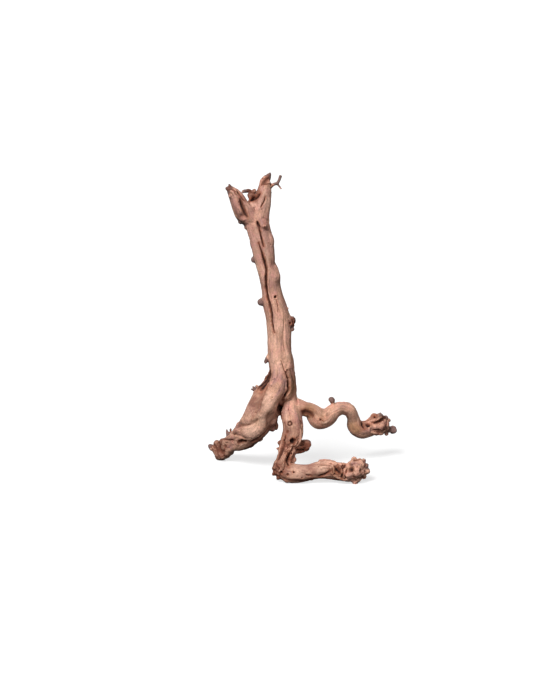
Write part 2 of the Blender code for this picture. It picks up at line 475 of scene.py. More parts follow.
# The large forms, cut before the grain: strands that wind over the limbs, and the folds between them.
FORMS = (
    # The trunk's foot and the thick leg: an S-shaped ridge, the flank behind it, and the folds below.
    Mark(Cut.RIDGE, 16, 6.5, 0, (
        (-58, -65, 266), (-54, -67, 242), (-46, -71, 223), (-42, -71, 203), (-46, -73, 185),
        (-56, -74, 171), (-66, -73, 156), (-74, -68, 139), (-76, -61, 123),
    )),
    Mark(Cut.FURROW, 8, 5, 0.28, (
        (-66, -62, 200), (-78, -66, 179), (-87, -66, 160), (-91, -62, 140), (-92, -58, 124),
    )),
    Mark(Cut.FURROW, 3, 1.8, 0.35, (
        (-66, -64, 204), (-76, -65, 183), (-82, -67, 169), (-85, -67, 153), (-84, -66, 138),
    )),
    Mark(Cut.RIDGE, 10, 2.5, 0, (
        (-78, -58, 190), (-93, -56, 170), (-103, -50, 150), (-111, -42, 130), (-122, -14, 109),
    )),
    Mark(Cut.RIDGE, 13, 4, 0, ((-58, -66, 150), (-57, -40, 124), (-62, -30, 103))),
    Mark(Cut.FURROW, 4.5, 2.6, 0.2, ((-70, -68, 141), (-68, -58, 126), (-69, -50, 112), (-70, -36, 96))),
    Mark(Cut.RIDGE, 8, 3.5, 0, ((-86, -62, 131), (-104, -48, 121), (-118, -27, 112), (-130, -2, 100))),
    Mark(Cut.RIDGE, 18, 5, 0, ((-80, -53, 106), (-94, -47, 97), (-110, -34, 90), (-122, -17, 86))),
    Mark(Cut.FURROW, 3.0, 3, 0.3, (
        (-133, 9, 89), (-118, -27, 102), (-104, -46, 109), (-92, -57, 118), (-84, -63, 127),
    )),
    Mark(Cut.FURROW, 3.5, 5, 0.8, ((-72, -38, 98), (-82, -40, 86), (-92, -35, 77), (-102, -29, 70))),
    Mark(Cut.RIDGE, 8, 2.5, 0.75, (
        (-52, -17, 92), (-65, -20, 90), (-78, -31, 82), (-90, -26, 70), (-102, -5, 54), (-116, 12, 46),
    )),
    Mark(Cut.FURROW, 7, 6, 1, (
        (-61, -57, 221), (-65, -54, 211), (-71, -52, 201), (-76, -54, 192), (-81, -58, 184),
    )),
    # Painted shade on the wall of the cleft above, as a dark stain.
    Mark(Cut.STAIN, 10, 0, 1, ((-65, -44, 218), (-70, -42, 206), (-76, -42, 196), (-82, -48, 186))),
    Mark(Cut.RIDGE, 9, 2.5, 0, (
        (-31, -57, 272), (-27, -61, 241), (-23, -59, 208), (-25, -57, 179), (-29, -51, 155),
    )),
    Mark(Cut.FURROW, 3, 2.5, 0.35, ((-26, -63, 229), (-21, -58, 211), (-16, -49, 191), (-18, -46, 170))),
    # The heel: two strands, with hollows between and below them.
    Mark(Cut.STRAND, 7, 3, 0, ((-132, -4, 76), (-150, 37, 59), (-169, 74, 44), (-186, 89, 33))),
    Mark(Cut.STRAND, 7, 2.5, 0, ((-133, 14, 48), (-146, 45, 30), (-159, 57, 17), (-167, 66, 10))),
    Mark(Cut.STRAND, 4.5, 2.5, 0.3, ((-141, 22, 73), (-133, 1, 84), (-124, -16, 88))),
    Mark(Cut.DENT, 9, 5, 0.75, ((-171, 64, 34),)),
    Mark(Cut.DENT, 6, 4, 0.75, ((-156, 47, 39),)),
    Mark(Cut.DENT, 7, 3.5, 0.7, ((-165, 57, 24),)),
    Mark(Cut.FURROW, 5, 4.5, 0.8, ((-130, 1, 59), (-122, -12, 66), (-112, -21, 70))),
    Mark(Cut.RIDGE, 3, 2, 0, ((-130, -4, 66), (-121, -16, 73), (-111, -24, 75))),
    # The thin leg: strands that wind down to the elbow, and the hollow inside its bend.
    Mark(Cut.STRAND, 7.5, 4.5, 0, ((-18, -85, 76), (-26, -88, 68), (-36, -89, 56), (-45, -92, 43))),
    Mark(Cut.STRAND, 5, 3.5, 0, ((-38, -69, 92), (-44, -75, 72), (-47, -83, 55), (-51, -92, 38))),
    Mark(Cut.FURROW, 2.6, 4.5, 0.8, ((-34, -73, 94), (-38, -80, 75), (-43, -84, 62), (-48, -88, 47))),
    Mark(Cut.FURROW, 3, 3.5, 0.5, ((-11, -79, 92), (-19, -87, 69), (-29, -91, 55), (-36, -97, 40))),
    Mark(Cut.STRAND, 4.5, 3, 0, ((-27, -88, 68), (-33, -92, 51), (-39, -99, 36), (-45, -99, 22))),
    Mark(Cut.STRAND, 3, 4, 0, ((-3, -70, 106), (-4, -73, 92), (-6, -76, 82), (-12, -81, 72))),
    Mark(Cut.SPLIT, 4.6, 8, 0.95, ((-26, -90, 62), (-28, -91, 52), (-27, -93, 40))),
    Mark(Cut.STRAND, 7, 2.5, 0, ((-34, -58, 150), (-36, -60, 132), (-32, -66, 118), (-20, -70, 108))),
    # The foot: a smooth back, a ledge, and curled folds with hollows between them.
    Mark(Cut.RIDGE, 9, 3, 0, (
        (-28, -98, 33), (-9, -102, 31), (15, -105, 30), (38, -107, 34), (54, -104, 39),
    )),
    Mark(Cut.FURROW, 3, 4, 0.75, ((31, -106, 20), (43, -108, 23), (50, -109, 28), (56, -109, 33))),
    Mark(Cut.RIDGE, 6, 2, 0.15, ((-18, -107, 16), (5, -106, 15), (29, -104, 16), (48, -107, 20))),
    Mark(Cut.STRAND, 4, 4, 0, ((30, -93, 44), (49, -93, 45), (69, -97, 43), (84, -102, 39))),
    Mark(Cut.FURROW, 2, 2.4, 0.5, ((33, -101, 39), (50, -101, 41), (66, -103, 40))),
    Mark(Cut.STRAND, 3, 3, 0, ((34, -107, 34), (46, -106, 38), (58, -106, 38), (64, -105, 38))),
    Mark(Cut.STRAND, 3.6, 5, 0, ((50, -103, 42), (60, -104, 41), (64, -109, 33), (60, -110, 25))),
    Mark(Cut.STRAND, 3.4, 4, 0, (
        (60, -100, 43), (70, -103, 41), (76, -107, 36), (78, -111, 28), (84, -107, 15),
    )),
    Mark(Cut.FURROW, 5.4, 8, 1, ((66, -107, 38), (70, -111, 33), (73, -111, 27))),
    Mark(Cut.STRAND, 2.2, 2.6, 0, ((70, -100, 42), (74, -107, 37), (76, -112, 28), (76, -110, 20))),
    Mark(Cut.SPLIT, 2.2, 3.5, 0.95, ((79, -112, 28), (78, -111, 22), (77, -108, 17))),
    Mark(Cut.SPLIT, 2.4, 3.5, 0.9, ((85, -96, 42), (82, -102, 39), (79, -106, 36))),
    Mark(Cut.STRAND, 4, 3.5, 0, ((57, -110, 26), (68, -108, 18), (84, -105, 11), (95, -108, 17))),
    # The foot's burl: round lobes and two eyes.
    Mark(Cut.DENT, 9, -4.5, 0, ((100, -103, 46),)),
    Mark(Cut.DENT, 10, -4.5, 0, ((107, -114, 27),)),
    Mark(Cut.DENT, 7, -4, 0, ((120, -98, 42),)),
    Mark(Cut.DENT, 8, -4, 0, ((90, -111, 22),)),
    Mark(Cut.DENT, 7, -3, 0, ((122, -102, 25),)),
    Mark(Cut.DENT, 6, -3, 0, ((86, -107, 35),)),
    Mark(Cut.DENT, 7.5, 5.5, 0.95, ((95, -111, 35),)),
    Mark(Cut.DENT, 4.5, 3.5, 0.75, ((116, -111, 32),)),
    # The arm: the hollow under its root, its long back, and the rolled flap and folds of its burl.
    Mark(Cut.FURROW, 7, 5, 0.75, ((1, -47, 137), (12, -43, 133), (21, -38, 126))),
    Mark(Cut.RIDGE, 10, 2, 0, (
        (-4, -44, 153), (16, -35, 145), (36, -27, 133), (53, -12, 132), (69, 0, 139), (89, 9, 138),
        (103, 11, 122), (107, 23, 94),
    )),
    Mark(Cut.STRAND, 3.4, 5.5, 0, ((141, 45, 93), (152, 43, 92), (163, 51, 98), (175, 66, 100))),
    Mark(Cut.FURROW, 2.6, 4, 0.8, ((147, 41, 90), (158, 44, 93), (169, 55, 96))),
    Mark(Cut.STRAND, 6, 3.5, 0, ((145, 40, 83), (160, 43, 80), (174, 48, 84))),
    Mark(Cut.STRAND, 4.5, 4, 0, ((141, 40, 71), (154, 47, 67), (171, 63, 64))),
    Mark(Cut.FURROW, 2.6, 3, 0.35, ((176, 62, 94), (173, 50, 82), (175, 66, 66))),
    Mark(Cut.STRAND, 2.2, 2.5, 0, ((143, 48, 95), (141, 39, 87), (136, 34, 78), (138, 40, 68))),
    # The hand at the top: the rim of the fork, the long hollow in the left prong, the torn ends, the knob.
    Mark(Cut.RIDGE, 6, 3, 0, ((-112, -60, 556), (-102, -57, 546), (-90, -52, 543), (-79, -54, 548))),
    Mark(Cut.FURROW, 4.2, 5.5, 0.9, (
        (-122, -68, 566), (-116, -68, 552), (-112, -69, 541), (-108, -69, 531),
    )),
    # Painted shade along the inside of that hollow, as a dark stain.
    Mark(Cut.STAIN, 6, 0, 0.5, ((-118, -69, 556), (-114, -69, 545), (-112, -70, 534))),
    Mark(Cut.FURROW, 5, 3.5, 0.35, ((-124, -64, 528), (-118, -70, 533), (-109, -68, 531))),
    Mark(Cut.STRAND, 3, 3, 0, ((-146, -66, 586), (-134, -69, 577), (-127, -70, 566))),
    Mark(Cut.FURROW, 3, 4, 0.7, ((-128, -63, 581), (-120, -64, 571), (-114, -62, 561))),
    Mark(Cut.DENT, 8, 4, 0.75, ((-98, -40, 564),)),
    Mark(Cut.FURROW, 3.6, 5, 1, ((-104, -44, 559), (-93, -42, 564), (-83, -46, 572))),
    Mark(Cut.FURROW, 5, 5, 0.75, ((-80, -40, 591), (-73, -40, 598), (-67, -36, 602))),
    Mark(Cut.DENT, 9, -3, 0, ((-76, -64, 514),)),
    Mark(Cut.FURROW, 3, 2, 0.2, ((-83, -60, 525), (-73, -56, 527), (-66, -46, 518), (-68, -54, 503))),
    Mark(Cut.DENT, 13, -3, 0, ((-60, -50, 483),)),
    Mark(Cut.DENT, 13, -3, 0, ((-49, -52, 410),)),
    Mark(Cut.DENT, 12, 2.5, 0, ((-54, -50, 432),)),
    Mark(Cut.DENT, 12, -2.5, 0, ((-100, -40, 470),)),
    # The broken stub's hollow end, its stain, and the furrow between it and the thin leg.
    Mark(Cut.HOLE, 7.5, 9, 1, ((14, -48, 66),)),
    Mark(Cut.STAIN, 11, 0, 0.6, ((-6, -68, 62), (4, -64, 68), (12, -58, 70))),
    Mark(Cut.FURROW, 4, 5, 0.95, ((-11, -76, 66), (-2, -68, 62), (6, -62, 58))),
)

# The small marks, cut after the grain.
MARKS = (
    # The long split down the trunk, and the short one beside it that comes out of the knot hole.
    Mark(Cut.SPLIT, 2.4, 9, 1, (
        (-86, -66, 479), (-80, -65, 461), (-75, -64, 445), (-70, -63, 428), (-71, -62, 407),
        (-71, -60, 387), (-69, -60, 371), (-64, -61, 357), (-60, -62, 336), (-60, -61, 323),
        (-55, -64, 300),
    )),
    Mark(Cut.SPLIT, 1.9, 6, 1, ((-85, -65, 510), (-82, -65, 499), (-79, -65, 485), (-76, -65, 471))),
    Mark(Cut.SPLIT, 2.6, 7, 1, ((-88, -63, 522), (-87, -63, 516), (-84, -64, 509))),
    Mark(Cut.FURROW, 2.6, 1, 0.25, ((-94, -60, 530), (-91, -61, 526), (-88, -62, 522))),
    Mark(Cut.RING, 6, 1.4, 0.3, ((-74, -67, 512),)),
    Mark(Cut.FURROW, 1.8, 1, 0.2, ((-107, -64, 520), (-99, -64, 518), (-87, -64, 518))),
    # The fork's cracks, and the torn tips.
    Mark(Cut.SPLIT, 1.8, 2.5, 0.8, ((-143, -67, 583), (-137, -65, 585), (-129, -66, 579))),
    Mark(Cut.FURROW, 2, 1.6, 0.45, ((-140, -68, 577), (-133, -68, 578), (-125, -67, 572))),
    Mark(Cut.SPLIT, 1.9, 3.5, 0.85, ((-73, -49, 568), (-73, -50, 562), (-76, -51, 556), (-82, -54, 547))),
    Mark(Cut.FURROW, 1.8, 2, 0.6, ((-81, -40, 587), (-72, -42, 592), (-64, -37, 591))),
    Mark(Cut.HOLE, 3.2, 3, 1, ((-60, -34, 590),)),
    # The eye in the trunk, and the fine cracks round it.
    Mark(Cut.HOLE, 3.0, 5, 0.9, ((-53, -58, 371),)),
    Mark(Cut.SPLIT, 1.0, 1.8, 0.7, ((-52, -58, 365), (-49, -59, 355), (-48, -60, 343))),
    Mark(Cut.FURROW, 1.4, 1.2, 0.3, ((-70, -49, 327), (-66, -53, 308), (-64, -55, 288))),
    Mark(Cut.FURROW, 2.0, 1.5, 0.3, ((-36, -57, 328), (-38, -61, 295), (-36, -63, 261))),
    # The split between the two legs: a hairline at the top that opens into the dark gap.
    Mark(Cut.SPLIT, 1.5, 2.5, 0.65, ((-43, -69, 246), (-41, -70, 239), (-37, -70, 227), (-32, -67, 214))),
    Mark(Cut.SPLIT, 3.0, 8, 1, (
        (-35, -69, 222), (-32, -67, 214), (-29, -64, 199), (-29, -62, 186), (-35, -60, 174),
        (-42, -54, 161), (-47, -48, 152),
    )),
    Mark(Cut.HOLE, 2.2, 3, 0.9, ((-31, -67, 225),)),
    Mark(Cut.FURROW, 1.5, 0.9, 0.3, ((-58, -68, 207), (-52, -71, 207), (-46, -73, 205))),
    Mark(Cut.FURROW, 6, 9, 1, ((-45, -56, 160), (-46, -44, 147), (-45, -38, 135), (-41, -44, 127))),
    # A thin crease on the thick leg, the stains of the leg and the elbow, a darker band along the foot's
    # lower edge, and the heel's creases.
    Mark(Cut.FURROW, 2, 1.6, 0.35, ((-144, 34, 71), (-124, -14, 79), (-104, -34, 81))),
    Mark(Cut.STAIN, 3, 0, 0.3, ((-62, -72, 160), (-68, -68, 142), (-70, -60, 124), (-72, -50, 108))),
    Mark(Cut.STAIN, 6, 0, 0.5, ((-60, -84, 30), (-54, -89, 18), (-42, -94, 11))),
    Mark(Cut.STAIN, 5, 0, 0.45, ((-39, -56, 101), (-44, -62, 82), (-48, -72, 64), (-52, -82, 46))),
    Mark(Cut.STAIN, 7, 0, 0.5, (
        (-32, -103, 13), (-13, -106, 12), (7, -103, 13), (31, -102, 14), (51, -99, 12), (84, -102, 9),
    )),
    Mark(Cut.FURROW, 2.4, 2.4, 0.6, ((-182, 81, 31), (-169, 60, 29), (-159, 52, 26))),
    Mark(Cut.FURROW, 2.2, 2.4, 0.6, ((-160, 60, 52), (-150, 34, 57), (-138, 10, 62))),
    # The thin leg: its knot, its eye and its folds.
    Mark(Cut.RING, 4.6, 1.3, 0.9, ((-25, -69, 117),)),
    Mark(Cut.DENT, 6, 2.2, 0.7, ((-31, -71, 102),)),
    Mark(Cut.HOLE, 6, 10, 1, ((-18, -82, 85),)),
    Mark(Cut.FURROW, 2.0, 1.6, 0.4, ((-12, -33, 188), (-10, -31, 167), (-10, -50, 151))),
    Mark(Cut.FURROW, 2.2, 1.2, 0.2, ((-22, -53, 172), (-26, -55, 152), (-28, -60, 137))),
    Mark(Cut.FURROW, 1.6, 1.8, 0.5, ((-6, -62, 123), (0, -54, 113), (0, -54, 100))),
    Mark(Cut.HOLE, 2.4, 3, 0.9, ((-36, -76, 84),)),
    Mark(Cut.HOLE, 2.2, 3, 0.9, ((-22, -86, 60),)),
    # The elbow and the foot.
    Mark(Cut.FURROW, 2.4, 3, 0.8, ((-54, -89, 42), (-47, -97, 34), (-42, -102, 23))),
    Mark(Cut.HOLE, 3.4, 4, 0.8, ((-42, -101, 27),)),
    Mark(Cut.HOLE, 3, 3, 0.6, ((-29, -106, 23),)),
    Mark(Cut.HOLE, 3.2, 4, 1, ((-56, -89, 28),)),
    Mark(Cut.HOLE, 3, 4, 1, ((-50, -93, 16),)),
    Mark(Cut.HOLE, 2.4, 3, 0.9, ((-17, -106, 28),)),
    Mark(Cut.SPLIT, 1.8, 2.4, 0.8, ((6, -105, 25), (11, -105, 23), (18, -105, 24))),
    Mark(Cut.FURROW, 2.0, 1.4, 0.25, ((-12, -96, 37), (7, -98, 35), (29, -103, 38))),
    Mark(Cut.SPLIT, 2.0, 3, 0.8, ((80, -99, 42), (79, -105, 38), (77, -109, 33))),
    Mark(Cut.SPLIT, 1.8, 3, 0.8, ((84, -102, 38), (87, -109, 30), (85, -107, 17))),
    Mark(Cut.HOLE, 3, 4, 0.9, ((125, -99, 28),)),
    Mark(Cut.FURROW, 2.0, 2.6, 0.6, ((94, -104, 42), (98, -97, 49), (108, -96, 51), (117, -92, 49))),
    Mark(Cut.SPLIT, 1.6, 3, 0.8, ((121, -92, 46), (125, -95, 40), (123, -101, 34))),
    Mark(Cut.FURROW, 2.4, 3, 0.8, ((100, -111, 20), (114, -104, 15), (125, -95, 14))),
    # The arm's small marks.
    Mark(Cut.HOLE, 2.4, 3, 0.9, ((37, -36, 117),)),
    Mark(Cut.SPLIT, 1.2, 1.8, 0.8, ((34, -37, 120), (37, -36, 117), (42, -35, 114))),
    Mark(Cut.FURROW, 1.8, 1.1, 0.2, (
        (16, -39, 142), (32, -36, 127), (48, -29, 121), (62, -17, 128), (79, -4, 132), (91, 4, 127),
        (100, 17, 109),
    )),
    Mark(Cut.DENT, 6, 0.8, 0.35, ((106, 24, 82),)),
    Mark(Cut.SPLIT, 1.8, 2.6, 0.9, ((114, 36, 104), (119, 34, 100), (130, 50, 95), (141, 50, 97))),
    Mark(Cut.FURROW, 3.8, 4, 0.95, ((124, 37, 93), (124, 31, 88), (125, 29, 83))),
    Mark(Cut.DENT, 8, 4.5, 0, ((130, 62, 97),)),
    Mark(Cut.HOLE, 5.4, 5, 0.95, ((136, 37, 88),)),
    Mark(Cut.HOLE, 2.6, 3.4, 1, ((150, 53, 101),)),
    Mark(Cut.FURROW, 2.2, 2.8, 0.6, ((146, 40, 77), (158, 43, 74), (173, 52, 74))),
    # The rough burl on the trunk's right.
    Mark(Cut.FURROW, 1.8, 2.6, 0.9, ((-20, -47, 327), (-15, -47, 318), (-17, -45, 309))),
    Mark(Cut.HOLE, 2.4, 3, 1, ((-24, -48, 316),)),
)

# Where the wood is gnarled: x, y, z, reach and strength.
GNARLS = (
    (-168, 74, 32, 44, 1.0), (-45, -88, 24, 32, 1.0), (-26, -78, 74, 34, 0.75), (2, -56, 68, 22, 1.1),
    (108, -92, 30, 34, 1.0), (66, -96, 28, 32, 0.7), (160, 62, 80, 32, 1.1), (-20, -38, 316, 16, 1.2),
    (-98, -36, 570, 20, 1.2), (-76, -60, 512, 18, 0.5), (-118, -60, 530, 20, 0.4),
    (-142, -62, 582, 18, 0.8), (-72, -32, 598, 20, 0.8), (-72, -30, 200, 22, 0.7),
)

# Where grey weathering lies: x, y, z and reach.
WEATHERED = (
    (-147, -61, 586, 14), (-121, -48, 516, 14), (-64, -28, 608, 13), (-46, -24, 596, 16),
    (-110, -36, 577, 10), (-82, -42, 356, 11), (-96, -46, 443, 11), (-20, -36, 314, 18), (-73, -46, 240, 9),
    (-96, -20, 174, 13), (-152, 56, 70, 13), (-190, 92, 30, 12), (190, 78, 67, 20), (59, -3, 150, 9),
    (14, -46, 70, 13), (128, -90, 40, 13), (168, 66, 101, 14),
)


class Tone(Enum):
    """Colours that lie on the wood in broad soft patches; the pale ones are painted highlights."""

    BROWN = "dark and reddish, as where bark was last"
    # Painted highlight, laid on as pale patches.
    PALE = "bleached"
    MAUVE = "greyish pink, as higher up the stem"
    OLIVE = "yellowish brown"


# Where those patches are: x, y, z, reach and strength.
PATCHES = {
    Tone.BROWN: (
        (-166, 66, 30, 44, 0.9), (-140, 30, 58, 26, 0.4), (-44, -90, 24, 44, 1.0), (-34, -80, 60, 30, 0.55),
        (-26, -72, 96, 46, 0.8), (8, -56, 66, 34, 1.0), (-22, -88, 50, 20, 0.8), (20, -98, 14, 60, 0.7),
        (66, -104, 18, 34, 0.65), (150, 56, 100, 16, 1.0), (130, 34, 88, 13, 0.8), (162, 56, 76, 32, 0.6),
        (-118, -62, 536, 26, 0.2), (-98, -38, 570, 26, 1.0), (-80, -50, 514, 26, 0.25),
        (-20, -40, 316, 16, 1.0), (-74, -32, 200, 18, 0.9), (-100, -30, 58, 34, 0.35),
        (-90, -60, 160, 36, 0.65), (-72, -40, 200, 16, 0.9), (-64, -34, 108, 24, 0.7),
        (-112, -10, 60, 26, 0.35), (-20, -50, 200, 26, 0.35), (-102, -52, 136, 28, 0.3),
        (-120, -40, 122, 22, 0.4), (-122, -64, 534, 20, 0.25), (-72, -45, 240, 13, 0.9),
        (-56, -84, 26, 20, 0.8),
    ),
    # Painted highlights: pale patches on ridges and tops that face the light.
    Tone.PALE: (
        (60, -106, 38, 16, 0.9), (-58, -62, 300, 60, 0.5), (-56, -68, 240, 40, 0.5),
        (-66, -72, 158, 34, 0.8), (-74, -60, 122, 32, 0.85), (-78, -48, 104, 22, 0.7),
        (-98, -46, 97, 36, 0.9), (72, 0, 134, 34, 0.25), (-4, -104, 32, 34, 0.8), (34, -106, 36, 26, 0.7),
        (-78, -46, 556, 30, 0.6), (84, -100, 38, 20, 0.5), (50, -98, 45, 14, 0.8),
    ),
    Tone.MAUVE: (
        (-98, -50, 556, 70, 0.65), (-84, -50, 480, 70, 0.8), (-68, -50, 405, 60, 0.6),
        (-104, -48, 140, 30, 0.6), (-56, -30, 118, 22, 0.7), (96, -106, 22, 22, 0.8), (4, -92, 40, 30, 0.7),
        (-34, -54, 136, 22, 0.7), (166, 60, 76, 24, 0.5),
    ),
    Tone.OLIVE: (
        (12, -36, 134, 26, 0.9), (40, -30, 120, 30, 0.5), (104, 26, 88, 24, 0.8), (-18, -50, 190, 34, 0.7),
        (64, -108, 30, 16, 0.9), (95, -111, 36, 12, 0.8), (110, 26, 82, 20, 0.9), (-92, -58, 122, 26, 0.5),
    ),
}


# ----------------------------------------------------------------------------------------------------
# The skin being worked
# ----------------------------------------------------------------------------------------------------


@dataclass
class Skin:
    """A closed mesh as plain arrays, in millimetres.

    Attributes:
        points: places, shape (n, 3).
        faces: four-sided faces as indices into points.
        edges: pairs of indices into points.
    """

    points: np.ndarray
    faces: np.ndarray
    edges: np.ndarray

    def average(self, values: np.ndarray) -> np.ndarray:
        """Each point's mean over the points it shares an edge with, for one value or several per point."""
        first, second = self.edges[:, 0], self.edges[:, 1]
        count = len(self.points)
        degree = np.bincount(self.edges.ravel(), minlength=count)
        columns = values.reshape(count, -1)
        sums = [
            np.bincount(first, column[second], count) + np.bincount(second, column[first], count)
            for column in columns.T
        ]
        return (np.stack(sums, axis=1) / degree[:, None]).reshape(values.shape)

    def spread(self, values: np.ndarray, rounds: int) -> np.ndarray:
        """Values averaged with their neighbours' a number of times over."""
        for _ in range(rounds):
            values = (values + self.average(values)) / 2.0
        return values

    def normals(self) -> np.ndarray:
        """Unit normals at the points: the sum of each face's diagonals crossed, brought to length one."""
        corners = self.points[self.faces]
        facing = np.cross(corners[:, 2] - corners[:, 0], corners[:, 3] - corners[:, 1])
        count = len(self.points)
        total = np.zeros((count, 3))
        for corner in range(4):
            for axis in range(3):
                total[:, axis] += np.bincount(self.faces[:, corner], facing[:, axis], count)
        return total / np.maximum(np.linalg.norm(total, axis=1), 1e-9)[:, None]

    def hollowness(self, rounds: int) -> np.ndarray:
        """How far the skin lies below the mean of its surroundings, in millimetres; negative where it stands
        out.
        """
        return ((self.spread(self.points, rounds) - self.points) * self.normals()).sum(axis=1)


# How far apart, along the grain, the places on one limb are from those on the next, in millimetres.
LIMBS_APART = 700.0

# Flutes and fibres: height, and the width and length of one, in millimetres, and which noise they follow.
WIDE_FLUTES = (1.9, (15.0, 170.0), 11)
FINE_FLUTES = (0.9, (6.0, 80.0), 23)
FIBRES = (0.45, (2.6, 45.0), 37)
MEAN_FLUTE = 0.3

# Lumps: height and width in millimetres, and which noise they follow.
LUMPS = ((1.5, 30.0, 51), (0.55, 11.0, 67))

# Widths of the two packings of lobes that make a burl, in millimetres, and a point's usual distance from its
# lobe's middle, in widths.
WIDE_LOBE = 13.0
SMALL_LOBE = 5.6
MEAN_LOBE = 0.42


@dataclass
class Grain:
    """Where every point of the skin lies in the wood's grain.

    Attributes:
        place: for each strand, position across, across and along its nearest limb, shape (3, n, 3).
        share: how much each strand's grain counts at each point, shape (3, n); they add up to 1.
        ahead: direction along the nearest limb, shape (n, 3).
        flutes: how strongly the wood is fluted at each point.
    """

    place: np.ndarray
    share: np.ndarray
    ahead: np.ndarray
    flutes: np.ndarray


